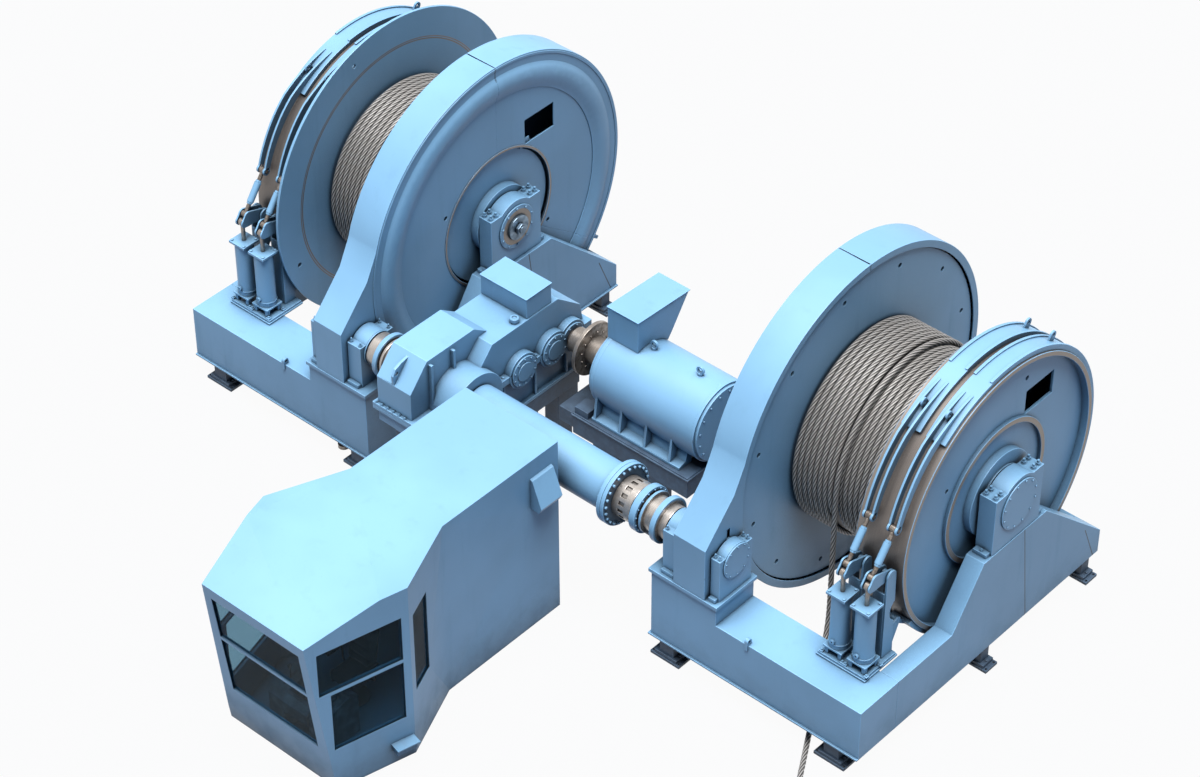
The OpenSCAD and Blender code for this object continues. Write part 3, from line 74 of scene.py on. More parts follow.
# Places from the part's source, in metres: the drums' axle, the shaft line, a tie rod's pins, the face of the
# torque tube's flange, the cabin's middle and the rope. The source counts Y from the frames' front line, and
# MID_Y is the middle of the whole plan in its numbers.
MID_Y = 0.413
DRUM_Y, AXLE_Z = 3.096, 2.560
SHAFT_Y, LINE_Z = 0.390344, 2.015
AXLE_Y, LINE_Y = DRUM_Y - MID_Y, SHAFT_Y - MID_Y
TIE_LOW, TIE_TOP = (0.702 - MID_Y, 2.665), (1.10116 - MID_Y, 3.20816)
HUB_X = 1.790
CABIN_X = 0.295
ROPE = 0.078
LEAD_X, LEAD_R = 4.177, 1.41065
# Layers of rope on a drum: radius, first and last X, start in degrees, turns, how far the first turn sinks
LAYERS = [
    (1.334, 4.1615, 4.879, 52, 8.75, 0.005),
    (1.412, 3.478, 4.093, 20, 7.5, 0.0),
]
ROUTE_LEFT = [
    (-4.178, 1.684, 2.450), (-4.178, 1.684, 2.210), (-4.178, 1.684, 1.970),
    (-4.178, 1.684, 1.730), (-4.178, 1.684, 1.490), (-4.178, 1.684, 1.250),
    (-4.178, 1.684, 1.010), (-4.178, 1.684, 0.790), (-4.176, 1.678, 0.580),
    (-4.160, 1.640, 0.390), (-4.115, 1.545, 0.230), (-4.035, 1.400, 0.110),
    (-3.925, 1.215, 0.050), (-3.800, 1.010, 0.042), (-3.670, 0.805, 0.042),
    (-3.560, 0.645, 0.050), (-3.480, 0.525, 0.088), (-3.413, 0.425, 0.088),
]
ROUTE_RIGHT = [
    (4.178, 1.684, 2.450), (4.178, 1.684, 2.210), (4.178, 1.684, 1.970),
    (4.178, 1.684, 1.730), (4.178, 1.684, 1.490), (4.178, 1.684, 1.250),
    (4.178, 1.684, 1.010), (4.178, 1.684, 0.790), (4.180, 1.678, 0.580),
    (4.196, 1.645, 0.390), (4.245, 1.550, 0.230), (4.330, 1.400, 0.110),
    (4.445, 1.215, 0.050), (4.580, 1.000, 0.042), (4.725, 0.770, 0.042),
    (4.865, 0.545, 0.042), (5.000, 0.320, 0.042), (5.130, 0.100, 0.042),
    (5.255, -0.110, 0.044), (5.370, -0.300, 0.064), (5.460, -0.450, 0.088),
    (5.530, -0.565, 0.088),
]
SIDES = {"left": -1, "right": 1}


def at(x, y, z):
    """A place given in the source's own numbers."""
    return Vector((x, y - MID_Y, z))


def srgb(r, g, b):
    """A colour read as 0 to 255, as the linear colour that Blender takes."""
    lin = [c / 255 / 12.92 if c < 11 else ((c / 255 + 0.055) / 1.055) ** 2.4 for c in (r, g, b)]
    return (*lin, 1.0)


# The way up, the width of the rounded edges, which are rubbed and carry a painted highlight, and the middle
# of the seat's foot
UP = (0, 0, 1)
EDGE = 0.006
SEAT = at(CABIN_X, -3.19, 0.06)


def photo_camera():
    """A camera at the photograph's angle."""
    lens = bpy.data.cameras.new("photo_camera")
    lens.lens, lens.sensor_width = 102.87, 36.0
    lens.shift_x, lens.shift_y = -0.00995, 0.0184
    lens.clip_end = 200.0
    camera = bpy.data.objects.new("photo_camera", lens)
    camera.location = (23.3616, -24.6377, 31.5479)
    camera.rotation_euler = (radians(90 - 40.6557), 0, radians(41.5455))
    scene.collection.objects.link(camera)
    return camera


scene.camera = photo_camera()
scene.view_settings.view_transform = "Standard"


class Amount:
    """A socket's value that takes part in plain arithmetic."""

    def __init__(self, web, socket):
        self.web, self.socket = web, socket

    def sum_with(self, operation, *others):
        values = dict(enumerate([self, *others]))
        return self.web.add("ShaderNodeMath", {"operation": operation}, values)[0]

    def __add__(self, other):
        return self.sum_with("ADD", other)

    def __mul__(self, other):
        return self.sum_with("MULTIPLY", other)

    def __sub__(self, other):
        return self.sum_with("SUBTRACT", other)

    def __truediv__(self, other):
        return self.sum_with("DIVIDE", other)

    def __rsub__(self, other):
        return self.web.add("ShaderNodeMath", {"operation": "SUBTRACT"}, {0: other, 1: self})[0]

    def __abs__(self):
        return self.sum_with("ABSOLUTE")


    __radd__ = __add__
    __rmul__ = __mul__

    def within(self, low, high):
        """0 below low, 1 above high, smooth between."""
        return self.web.add(
            "ShaderNodeMapRange", {"interpolation_type": "SMOOTHSTEP"},
            {"Value": self, "From Min": low, "From Max": high})[0]

    def between(self, low, high, soft=0.003):
        """1 from low to high, 0 outside them by soft."""
        return self.within(low - soft, low) * (1 - self.within(high, high + soft))

    def most(self, other):
        return self.sum_with("MAXIMUM", other)


class Web:
    """Adds nodes to a tree by one method."""

    def __init__(self, tree):
        self.tree = tree

    def add(self, kind, settings=None, values=None):
        node = self.tree.nodes.new(kind)
        for name, value in (settings or {}).items():
            setattr(node, name, value)
        for key, value in (values or {}).items():
            if isinstance(value, Amount):
                self.tree.links.new(value.socket, node.inputs[key])
            elif value is not None:
                node.inputs[key].default_value = value
        return Outlets(self, node)

    def mix(self, factor, first, second):
        return self.add("ShaderNodeMix", {"data_type": "RGBA"}, {0: factor, 6: first, 7: second})[2]

    def noise(self, place, scale, detail=4.0, roughness=0.55):
        return self.add("ShaderNodeTexNoise", None, {
            "Vector": place, "Scale": scale, "Detail": detail, "Roughness": roughness})[0]

    def stretched(self, place, scale):
        return self.add("ShaderNodeMapping", None, {"Vector": place, "Scale": scale})[0]

    def bump(self, height, strength, distance, normal=None):
        return self.add("ShaderNodeBump", None, {
            "Height": height, "Strength": strength, "Distance": distance, "Normal": normal})[0]


class Outlets:
    """A node's outputs by number or name."""

    def __init__(self, web, node):
        self.web, self.node = web, node

    def __getitem__(self, key):
        return Amount(self.web, self.node.outputs[key])


def finish_named(name):
    """A new material's web, its object coordinates and a call that closes it.

    The call takes a ready surface, or else the values of a plain one."""
    material = bpy.data.materials.new(name)
    material.use_nodes = True
    material.node_tree.nodes.clear()
    web = Web(material.node_tree)
    place = web.add("ShaderNodeTexCoord")["Object"]

    def close(surface=None, **values):
        words = {"colour": "Base Color", "rough": "Roughness", "metal": "Metallic", "normal": "Normal",
                 "ior": "IOR", "sheen": "Sheen Weight"}
        if surface is None:
            surface = web.add("ShaderNodeBsdfPrincipled", None, {words[k]: v for k, v in values.items()})[0]
        web.add("ShaderNodeOutputMaterial", None, {"Surface": surface})
        return material

    return web, place, close


BLUE = (118, 162, 196)


def painted_crease_shade(web, reach=1.0):
    """How much painted shade a spot takes: 1 deep in a corner or under an overhang, 0 on an open face."""
    air = web.add("ShaderNodeAmbientOcclusion", {"samples": 6}, {"Distance": reach})["AO"]
    return (1 - air).within(0.04, 0.84)


def round_axle(web, place, axle=(AXLE_Y, AXLE_Z)):
    """The distance from an axle that runs along X, and the unsigned distance from the middle of the winch."""
    split = web.add("ShaderNodeSeparateXYZ", None, {0: place})
    flat = web.add("ShaderNodeCombineXYZ", None, {1: split[1], 2: split[2]})[0]
    radius = web.add("ShaderNodeVectorMath", {"operation": "DISTANCE"}, {0: flat, 1: (0.0, *axle)})["Value"]
    return radius, abs(split[0])


def enamel(name, tone=1.0, edge=False, rings=(), seams=None):
    """Satin blue enamel: clouded, streaked and dusty low down, with painted shade in its corners.

    Rings are turned steel: (smallest and largest radius, least and most |x|). Seams gives its joint lines."""
    web, place, close = finish_named(name)
    blue = srgb(*[c * tone for c in BLUE])
    deep = srgb(*[c * tone * 0.86 for c in BLUE])
    pale = srgb(*[min(255, c * tone * 1.04 + 3) for c in BLUE])
    cloud = web.noise(place, 0.5, 3.0).within(0.36, 0.68)
    runs = web.noise(web.stretched(place, (4.0, 4.0, 0.4)), 1.0, 5.0, 0.6).within(0.54, 0.82)
    speck = web.noise(place, 11.0, 8.0, 0.72)
    colour = web.mix(cloud, blue, pale)
    colour = web.mix(runs * 0.30, colour, deep)
    colour = web.mix(speck.within(0.58, 0.76) * 0.22, colour, deep)
    height = web.add("ShaderNodeSeparateXYZ", None, {0: place})
    dust = (1 - height[2].within(0.05, 1.1)) * web.noise(place, 3.2, 6.0, 0.6).within(0.35, 0.7)
    colour = web.mix(dust * 0.30, colour, srgb(112, 128, 142))
    chips = web.noise(place, 19.0, 6.0, 0.65).within(0.735, 0.75)
    # The rounded edges: paint lighter than the face as a painted highlight, with more chips of real wear
    if edge:
        colour = web.mix(0.55, colour, srgb(*[min(255, c * tone * 1.16 + 8) for c in BLUE]))
        chips = web.noise(place, 6.0, 8.0, 0.7).within(0.63, 0.69)
    colour = web.mix(chips * 0.6, colour, srgb(112, 106, 100))
    metal = chips * 0.5
    if rings:
        radius, out = round_axle(web, place)
        turned = None
        for low, high, x_low, x_high in rings:
            ring = radius.between(low, high) * out.between(x_low, x_high)
            turned = ring if turned is None else turned.most(ring)
        grooves = web.add("ShaderNodeCombineXYZ", None, {0: radius * 240.0, 1: out * 90.0})[0]
        lathe = web.noise(grooves, 1.0, 2.0)
        colour = web.mix(turned, colour, web.mix(lathe, srgb(112, 103, 96), srgb(164, 154, 145)))
        metal = metal.most(turned * 0.55)
    if seams:
        colour = web.mix(seams(web, place), colour, srgb(14, 20, 28))
    # Painted shade in corners and under overhangs, and deeper painted shade in the tightest creases
    colour = web.mix(painted_crease_shade(web) * 0.78, colour, srgb(18, 27, 40))
    colour = web.mix(painted_crease_shade(web, 0.07) * 0.72, colour, srgb(12, 18, 28))
    skin = web.bump(web.noise(place, 1.6, 2.0), 0.08, 0.02)
    skin = web.bump(web.noise(place, 140.0, 2.0), 0.05, 0.001, skin)
    return close(colour=colour, rough=0.38 + runs * 0.10 + speck * 0.10 + dust * 0.15, metal=metal,
                 normal=skin, ior=1.5)


def flange_face(web, place):
    """The dark face of the tube's flange, behind its bolts."""
    radius, out = round_axle(web, place, (LINE_Y, LINE_Z))
    return out.between(HUB_X - 0.001, HUB_X + 0.001, 0.001) * (1 - radius.within(0.436, 0.44)) * 0.72


def frame_seams(web, place):
    """Joint lines of the welded frame sections on their sides."""
    split = web.add("ShaderNodeSeparateXYZ", None, {0: place})
    out, run, high = abs(split[0]), split[1], split[2]
    slope = (run - (2.98 - (high - 1.19) * 0.132)).between(-0.007, 0.007)
    tail = (run - (4.62 - (high - 0.3) * 0.42)).between(-0.007, 0.007) * (1 - high.within(0.95, 0.96))
    side = out.between(2.565, 2.575).most(out.between(5.995, 6.005))
    return slope.most(tail) * side * 0.9


def guard_seam(web, place):
    """The upright joint of the two guard halves, above the axle."""
    split = web.add("ShaderNodeSeparateXYZ", None, {0: place})
    line = (split[1] - AXLE_Y).between(-0.011, 0.011) * split[2].within(AXLE_Z, AXLE_Z + 0.1)
    return line * round_axle(web, place)[0].within(2.27, 2.29)


def machined(name, dark, light, rough=0.30, scale=(900.0, 14.0, 14.0), sleeve=None, dirt=0.35):
    """Turned or ground steel with tool marks across one axis, thin oily stains and painted shade in its
    corners.
    """
    web, place, close = finish_named(name)
    marks = web.noise(web.stretched(place, scale), 1.0, 3.0, 0.6)
    stain = web.noise(place, 4.5, 6.0, 0.65).within(0.40, 0.72)
    colour = web.mix(marks.within(0.3, 0.7), srgb(*dark), srgb(*light))
    colour = web.mix(stain * dirt, colour, srgb(*[c * 0.66 for c in dark]))
    metal = 0.75 - stain * dirt * 0.3
    if sleeve:
        paint = sleeve(web, place)
        colour = web.mix(paint, colour, srgb(*BLUE))
        metal = metal * (1 - paint)
    # Painted shade in the steel's corners
    colour = web.mix(painted_crease_shade(web, 0.20) * 0.85, colour, srgb(22, 22, 24))
    return close(colour=colour, rough=rough + stain * dirt * 0.4, metal=metal,
                 normal=web.bump(marks, 0.10, 0.0008))


def tie_sleeve(web, place):
    """The painted middle of a tie rod."""
    split = web.add("ShaderNodeSeparateXYZ", None, {0: place})
    run = [b - a for a, b in zip(TIE_LOW, TIE_TOP)]
    length = (run[0] ** 2 + run[1] ** 2) ** 0.5
    along = (split[1] - TIE_LOW[0]) * (run[0] / length) + (split[2] - TIE_LOW[1]) * (run[1] / length)
    return along.between(0.156, length - 0.156)


def hub_collars(web, place):
    """The painted collars of the coupling on the shaft line."""
    radius, out = round_axle(web, place, (LINE_Y, LINE_Z))
    return radius.within(0.2955, 0.299) * (1 - out.between(0, HUB_X + 0.298))


def rope_finish():
    """Greased wire rope: bright crowns, dark grooves between the strands, fine wires across each strand, and
    painted shade where it lies close against other parts.
    """
    web, place, close = finish_named("wire_rope")
    uv = web.add("ShaderNodeAttribute", {"attribute_name": "lay"})["Vector"]
    split = web.add("ShaderNodeSeparateXYZ", None, {0: uv})
    crown = abs((split[0] * (6 * pi)).sum_with("SINE"))
    wires = (split[0] * 380.0 + split[1] * 150.0).sum_with("SINE") * 0.5 + 0.5
    soil = web.noise(place, 5.0, 6.0, 0.65).within(0.36, 0.70)
    colour = web.mix(crown.within(0.30, 0.98), srgb(26, 26, 27), srgb(176, 173, 170))
    colour = web.mix(soil * 0.26, colour, srgb(108, 102, 96))
    colour = web.mix((1 - wires) * 0.22, colour, srgb(70, 65, 60))
    # Painted shade where the rope lies close against the drum and its other turns
    colour = web.mix(painted_crease_shade(web, 0.10) * 0.55, colour, srgb(34, 31, 29))
    return close(colour=colour, rough=0.44 + soil * 0.16, metal=0.30, normal=web.bump(wires, 0.30, 0.003))


def dark_paint():
    """The dull, dark blue paint of the bases, scuffed in spots, with painted shade in its corners."""
    web, place, close = finish_named("dark_paint")
    wear = web.noise(place, 7.0, 7.0, 0.66)
    colour = web.mix(wear.within(0.35, 0.7), srgb(62, 82, 104), srgb(76, 100, 124))
    colour = web.mix(web.noise(place, 24.0, 5.0).within(0.68, 0.72) * 0.7, colour, srgb(112, 104, 98))
    # Painted shade in the corners of the bases
    colour = web.mix(painted_crease_shade(web) * 0.85, colour, srgb(16, 21, 28))
    return close(colour=colour, rough=0.46 + wear * 0.16, metal=0.0, normal=web.bump(wear, 0.10, 0.004))


def window_glass():
    """Teal window glass: clear but tinted, with a smeared, shining surface over it."""
    web, place, close = finish_named("tinted_window")
    smear = web.noise(web.stretched(place, (3.0, 3.0, 0.7)), 1.0, 5.0).within(0.45, 0.85)
    colour = web.mix(smear, srgb(22, 56, 68), srgb(48, 88, 100))
    surface = web.add("ShaderNodeBsdfPrincipled", None, {
        "Base Color": colour, "Roughness": 0.05 + smear * 0.08, "Alpha": 0.5, "IOR": 1.5,
        "Normal": web.bump(web.noise(place, 1.1, 1.0), 0.04, 0.01)})[0]
    clear = web.add("ShaderNodeBsdfTransparent", None, {"Color": (0.58, 0.73, 0.80, 1.0)})[0]
    return close(web.add("ShaderNodeMixShader", None, {0: 0.24 + smear * 0.08, 1: clear, 2: surface})[0])


def moulded(name, colour, rough, grain):
    """Moulded plastic or lacquer with a fine leather grain."""
    web, place, close = finish_named(name)
    pebble = web.add("ShaderNodeTexVoronoi", None, {"Vector": place, "Scale": grain})[0]
    rub = web.noise(place, 6.0, 6.0, 0.6)
    mixed = web.mix(rub.within(0.4, 0.75), srgb(*colour), srgb(*[min(255, c * 1.35 + 8) for c in colour]))
    return close(colour=mixed, rough=rough + rub * 0.12, normal=web.bump(pebble, 0.25, 0.001))


def seat_cloth():
    """Woven grey seat cloth, rubbed lighter in places."""
    web, place, close = finish_named("seat_cloth")
    split = web.add("ShaderNodeSeparateXYZ", None, {0: place})
    weave = (split[0] * 1400.0).sum_with("SINE") * (split[1] * 1400.0).sum_with("SINE") * 0.5 + 0.5
    rub = web.noise(place, 8.0, 5.0)
    colour = web.mix(weave * 0.5, srgb(42, 47, 54), srgb(56, 62, 70))
    colour = web.mix(rub.within(0.45, 0.75) * 0.5, colour, srgb(70, 76, 84))
    return close(colour=colour, rough=0.86, normal=web.bump(weave, 0.10, 0.0015), sheen=0.25)


# Steel rings on the painted drums: wheel rim between the bands, its end face, hub ring and left flange lines
WHEEL_RINGS = [(1.9745, 1.985, 4.967, 5.70), (1.903, 1.98, 5.687, 5.70), (0.957, 1.043, 5.625, 5.64),
               (0.0, 1.372, 3.44, 4.92)]
LEFT_LINES = [(1.855, 1.872, 4.90, 4.93), (1.886, 1.900, 4.90, 4.93)]
finishes = {
    "painted": enamel("blue_enamel"),
    "frame_paint": enamel("frame_enamel", 0.985, seams=frame_seams),
    "worn_highlit_edge": enamel("worn_highlit_edge", edge=True),
    "wheel_left": enamel("wheel_enamel_left", rings=[*WHEEL_RINGS, *LEFT_LINES]),
    "wheel_right": enamel("wheel_enamel_right", rings=[*WHEEL_RINGS, (1.9745, 1.985, 4.90, 4.97)]),
    "guard": enamel("guard_enamel", rings=[(1.038, 1.082, 2.93, 2.96)], seams=guard_seam),
    "cover": enamel("cover_enamel", rings=[(0.0, 0.278, 2.59, 2.605)]),
    "tube": enamel("tube_enamel", seams=flange_face),
    "bare_steel": machined("ground_steel", (118, 109, 101), (176, 168, 160)),
    "coupling": machined("coupling_steel", (150, 142, 135), (208, 202, 196), sleeve=hub_collars, dirt=0.10),
    "shaft_end": machined("shaft_steel", (88, 108, 126), (142, 162, 180)),
    "tie_rod": machined("tie_rod_steel", (96, 88, 81), (150, 141, 133), 0.34, (40, 40, 40), tie_sleeve),
    "rope": rope_finish(),
    "dark_paint": dark_paint(),
    "window": window_glass(),
    "upholstery": seat_cloth(),
    "desk": moulded("desk_laminate", (82, 98, 112), 0.42, 420.0),
    "knob": moulded("knob_plastic", (30, 33, 38), 0.38, 600.0),
    "rubber": moulded("window_rubber", (24, 26, 29), 0.62, 500.0),
}
# Nodes whose finish isn't that of their slot
own_finish = {
    "drum_left": "wheel_left", "drum_right": "wheel_right", "bearing_covers": "cover",
    "coupling_hub": "coupling", "output_shaft": "coupling", "torque_tube": "tube",
}
for side in SIDES:
    own_finish |= {
        f"tie_rods_{side}": "tie_rod", f"drum_shaft_{side}": "shaft_end",
        f"guard_front_{side}": "guard", f"guard_rear_{side}": "guard",
    }
# A node's first material is named after its slot
slot_of = {name: node.data.materials[0].name.split(".")[0] for name, node in parts.items()}


def settle(piece):
    """Turns a piece and its modifiers into a plain mesh of the same name."""
    graph = bpy.context.evaluated_depsgraph_get()
    mesh = bpy.data.meshes.new_from_object(piece.evaluated_get(graph), depsgraph=graph)
    name = mesh.name = piece.name
    plain = bpy.data.objects.new(name, mesh)
    scene.collection.objects.link(plain)
    bpy.data.objects.remove(piece)
    plain.name = name
    return plain


def shaped(name, shape, finish):
    """A new piece in its finish from a shape that is done with."""
    mesh = bpy.data.meshes.new(name)
    shape.to_mesh(mesh)
    shape.free()
    mesh.materials.append(finish)
    piece = bpy.data.objects.new(name, mesh)
    scene.collection.objects.link(piece)
    return piece


def softened(node):
    """A merged copy of a CAD node with its long outer edges rounded, which then stands for the node."""
    slot = slot_of[node]
    finish = finishes[own_finish.get(node, slot)]
    shell = bmesh.new()
    shell.from_mesh(parts[node].data)
    bmesh.ops.remove_doubles(shell, verts=shell.verts, dist=2e-5)
    if node != "cabin_shell":
        bmesh.ops.dissolve_limit(shell, angle_limit=radians(0.4), verts=shell.verts, edges=shell.edges)
    return dressed(shell, node + "_dressed", slot, finish, parts[node]["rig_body"], node)


def edge_share(edge):
    """The share of the full rounding that an edge takes: none where it is flat, hollow or cramped."""
    if edge.calc_face_angle(0.0) < radians(33) or not edge.is_convex:
        return 0.0
    near = [edge.calc_length() * 0.9]
    for loop in edge.link_loops:
        near += [loop.link_loop_prev.edge.calc_length(), loop.link_loop_next.edge.calc_length()]
    share = min(near) / (2.4 * EDGE)
    return 0.0 if share < 0.25 else min(1.0, share)


def on_door_pane(face):
    """Whether a face of the cabin's door belongs to its window pane."""
    return -0.495 < face.center.x < -0.481 and abs(face.normal.x) > 0.9


def dressed(shell, name, slot, finish, body, node):
    """Rounds the long outer edges of a shell, rubs them and paints a highlight on them, and puts it in its
    node's place.

    The cabin's walls stay sharp, because rounding warps the strips between their windows."""
    weight = shell.edges.layers.float.new("bevel_weight_edge")
    for edge in shell.edges:
        edge.smooth = edge.calc_face_angle(0.0) < radians(28)
        edge[weight] = 0.0 if node == "cabin_shell" else edge_share(edge)
    for face in shell.faces:
        face.smooth = any(radians(0.6) < edge.calc_face_angle(0.0) < radians(28) for edge in face.edges)
    piece = shaped(name, shell, finish)
    piece.data.materials.append(finishes["worn_highlit_edge"] if slot in ("painted", "frame_paint") else finish)
    if node == "cabin_door":
        piece.data.materials.append(finishes["window"])
    for face in piece.data.polygons:
        face.material_index = 2 if node == "cabin_door" and on_door_pane(face) else 0
    bevel = piece.modifiers.new("rounded", "BEVEL")
    bevel.width, bevel.segments, bevel.limit_method = EDGE, 2, "WEIGHT"
    bevel.use_clamp_overlap, bevel.material = False, 1
    even = piece.modifiers.new("even_shading", "WEIGHTED_NORMAL")
    even.keep_sharp = True
    return fitted(settle(piece), body, slot, node)


# Geometry Nodes trees: a twisted rope along a curve, and bolts set on points
def rope_tree():
    """A rope of strands laid round a curve, with its turn and its length kept for the finish."""
    tree = bpy.data.node_groups.new("laid_rope", "GeometryNodeTree")
    face = tree.interface
    face.new_socket("Path", in_out="INPUT", socket_type="NodeSocketGeometry")
    for name, value in (("Radius", ROPE / 2), ("Step", 0.03), ("Lay", 0.60), ("Groove", 0.25)):
        face.new_socket(name, in_out="INPUT", socket_type="NodeSocketFloat").default_value = value
    face.new_socket("Around", in_out="INPUT", socket_type="NodeSocketInt").default_value = 18
    face.new_socket("Finish", in_out="INPUT", socket_type="NodeSocketMaterial")
    face.new_socket("Rope", in_out="OUTPUT", socket_type="NodeSocketGeometry")
    web = Web(tree)
    given = web.add("NodeGroupInput")
    run = web.add("GeometryNodeResampleCurve", {"mode": "LENGTH"}, {
        "Curve": given["Path"], "Length": given["Step"]})
    along = web.add("GeometryNodeSplineParameter")["Length"]
    twisted = web.add("GeometryNodeSetCurveTilt", None, {
        "Curve": run[0], "Tilt": along / given["Lay"] * (2 * pi)})
    kept = web.add("GeometryNodeCaptureAttribute", None, {0: twisted[0]})
    kept.node.capture_items.new("FLOAT", "along")
    tree.links.new(along.socket, kept.node.inputs[1])
    outline = web.add("GeometryNodeCurveArc", {"mode": "RADIUS"}, {
        "Resolution": given["Around"] + 1, "Radius": given["Radius"],
        "Start Angle": 0.0, "Sweep Angle": 2 * pi})
    turn = web.add("GeometryNodeSplineParameter")["Factor"]
    crown = abs((turn * (6 * pi)).sum_with("SINE"))
    spot = web.add("GeometryNodeInputPosition")[0]
    drawn = web.add("ShaderNodeVectorMath", {"operation": "SCALE"}, {
        0: spot, "Scale": 1 - (1 - crown) * given["Groove"]})[0]
    shaped = web.add("GeometryNodeSetPosition", None, {"Geometry": outline[0], "Position": drawn})
    kept_turn = web.add("GeometryNodeCaptureAttribute", None, {0: shaped[0]})
    kept_turn.node.capture_items.new("FLOAT", "turn")
    tree.links.new(turn.socket, kept_turn.node.inputs[1])
    swept = web.add("GeometryNodeCurveToMesh", None, {
        "Curve": kept[0], "Profile Curve": kept_turn[0], "Fill Caps": True})
    pair = web.add("ShaderNodeCombineXYZ", None, {0: kept_turn[1], 1: kept[1]})[0]
    named = web.add("GeometryNodeStoreNamedAttribute", {"data_type": "FLOAT2", "domain": "CORNER"}, {
        "Geometry": swept[0], "Name": "lay", "Value": pair})
    joined = web.add("GeometryNodeMergeByDistance", None, {"Geometry": named[0], "Distance": 0.0001})
    smooth = web.add("GeometryNodeSetShadeSmooth", None, {0: joined[0]})
    done = web.add("GeometryNodeRealizeInstances", None, {0: smooth[0]})
    coated = web.add("GeometryNodeSetMaterial", None, {"Geometry": done[0], "Material": given["Finish"]})
    web.add("NodeGroupOutput", None, {0: coated[0]})
    return tree


def bolt_tree():
    """Hexagon bolts with washers on the points of a mesh, each along its point's facing."""
    tree = bpy.data.node_groups.new("bolt_set", "GeometryNodeTree")
    face = tree.interface
    face.new_socket("Points", in_out="INPUT", socket_type="NodeSocketGeometry")
    for name, value in (("Size", 0.034), ("Stud", 0.05)):
        face.new_socket(name, in_out="INPUT", socket_type="NodeSocketFloat").default_value = value
    face.new_socket("Finish", in_out="INPUT", socket_type="NodeSocketMaterial")
    face.new_socket("Bolts", in_out="OUTPUT", socket_type="NodeSocketGeometry")
    web = Web(tree)
    given = web.add("NodeGroupInput")
    size = given["Size"]

    def disc(sides, radius, low, high):
        shape = web.add("GeometryNodeMeshCylinder", None, {
            "Vertices": sides, "Radius": radius, "Depth": (high - low)})
        lift = web.add("ShaderNodeCombineXYZ", None, {2: (high + low) * 0.5})[0]
        return web.add("GeometryNodeTransform", None, {"Geometry": shape["Mesh"], "Translation": lift})[0]

    head = web.add("GeometryNodeJoinGeometry")
    for shape in (disc(8, size * 0.52, size * 0.70, given["Stud"]), disc(6, size, size * 0.13, size * 0.86),
                  disc(14, size * 1.15, size * -0.06, size * 0.15)):
        tree.links.new(shape.socket, head.node.inputs[0])
    facing = web.add("GeometryNodeInputNamedAttribute", {"data_type": "FLOAT_VECTOR"}, {"Name": "facing"})[0]
    turned = web.add("FunctionNodeAlignRotationToVector", {"axis": "Z"}, {"Vector": facing})[0]
    placed = web.add("GeometryNodeInstanceOnPoints", None, {
        "Points": given["Points"], "Instance": head[0], "Rotation": turned})
    done = web.add("GeometryNodeRealizeInstances", None, {0: placed[0]})
    coated = web.add("GeometryNodeSetMaterial", None, {"Geometry": done[0], "Material": given["Finish"]})
    web.add("NodeGroupOutput", None, {0: coated[0]})
    return tree


ROPE_TREE, BOLT_TREE = rope_tree(), bolt_tree()


def grown(name, data, tree, values):
    """A plain mesh grown by a tree from a mesh or a curve."""
    piece = bpy.data.objects.new(name, data)
    scene.collection.objects.link(piece)
    modifier = piece.modifiers.new("grown", "NODES")
    modifier.node_group = tree
    for item in tree.interface.items_tree:
        if item.in_out == "INPUT" and item.name in values:
            modifier[item.identifier] = values[item.name]
    bpy.context.view_layer.update()
    return settle(piece)


def bolts(name, size, stud, places):
    """Painted bolts with washers at places, each a point and the way its head faces."""
    mesh = bpy.data.meshes.new(name)
    mesh.from_pydata([point for point, way in places], [], [])
    facing = mesh.attributes.new("facing", "FLOAT_VECTOR", "POINT")
    for entry, (point, way) in zip(facing.data, places):
        entry.vector = way
    piece = grown(name, mesh, BOLT_TREE, {"Size": size, "Stud": stud, "Finish": finishes["painted"]})
    return fitted(piece, "base", "painted")


def fitted(piece, body, slot, *nodes):
    """Gives a finished piece its body and hides the nodes that it stands for; its slot is not used."""
    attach(piece, body)
    if nodes:
        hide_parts(*nodes)
    return piece


def placed(piece, spot, turn=(0, 0, 0)):
    """Settles a piece and moves its mesh, turned, to its spot."""
    piece = settle(piece)
    piece.data.transform(Matrix.Translation(spot) @ Euler([radians(a) for a in turn]).to_matrix().to_4x4())
    return piece


def rounded_box(name, size, edge, finish, spot, turn=(0, 0, 0), corner=0.0):
    """A box with rounded edges, its upright corners rounder where that is asked for."""
    shape = bmesh.new()
    bmesh.ops.create_cube(shape, size=1.0)
    bmesh.ops.scale(shape, vec=size, verts=shape.verts)
    if corner:
        upright = [e for e in shape.edges if abs((e.verts[0].co - e.verts[1].co).z) > size[2] * 0.9]
        bmesh.ops.bevel(shape, geom=upright, offset=corner, segments=8, profile=0.5, affect="EDGES")
    piece = shaped(name, shape, finishes[finish])
    piece.data.shade_smooth()
    bevel = piece.modifiers.new("edges", "BEVEL")
    bevel.width, bevel.segments, bevel.limit_method, bevel.angle_limit = edge, 4, "ANGLE", radians(40)
    bevel.harden_normals = True
    return placed(piece, spot, turn)


def turned_part(name, profile, finish, spot):
    """A part turned on a lathe from radii and heights."""
    shape = bmesh.new()
    line = [shape.verts.new((r, 0, h)) for r, h in profile]
    wires = [shape.edges.new(pair) for pair in zip(line, line[1:])]
    bmesh.ops.spin(shape, geom=line + wires, cent=(0, 0, 0), axis=(0, 0, 1), angle=2 * pi, steps=48)
    bmesh.ops.remove_doubles(shape, verts=shape.verts, dist=1e-5)
    bmesh.ops.recalc_face_normals(shape, faces=shape.faces)
    piece = shaped(name, shape, finishes[finish])
    piece.data.shade_smooth()
    piece.data.set_sharp_from_angle(angle=radians(35))
    return placed(piece, spot)


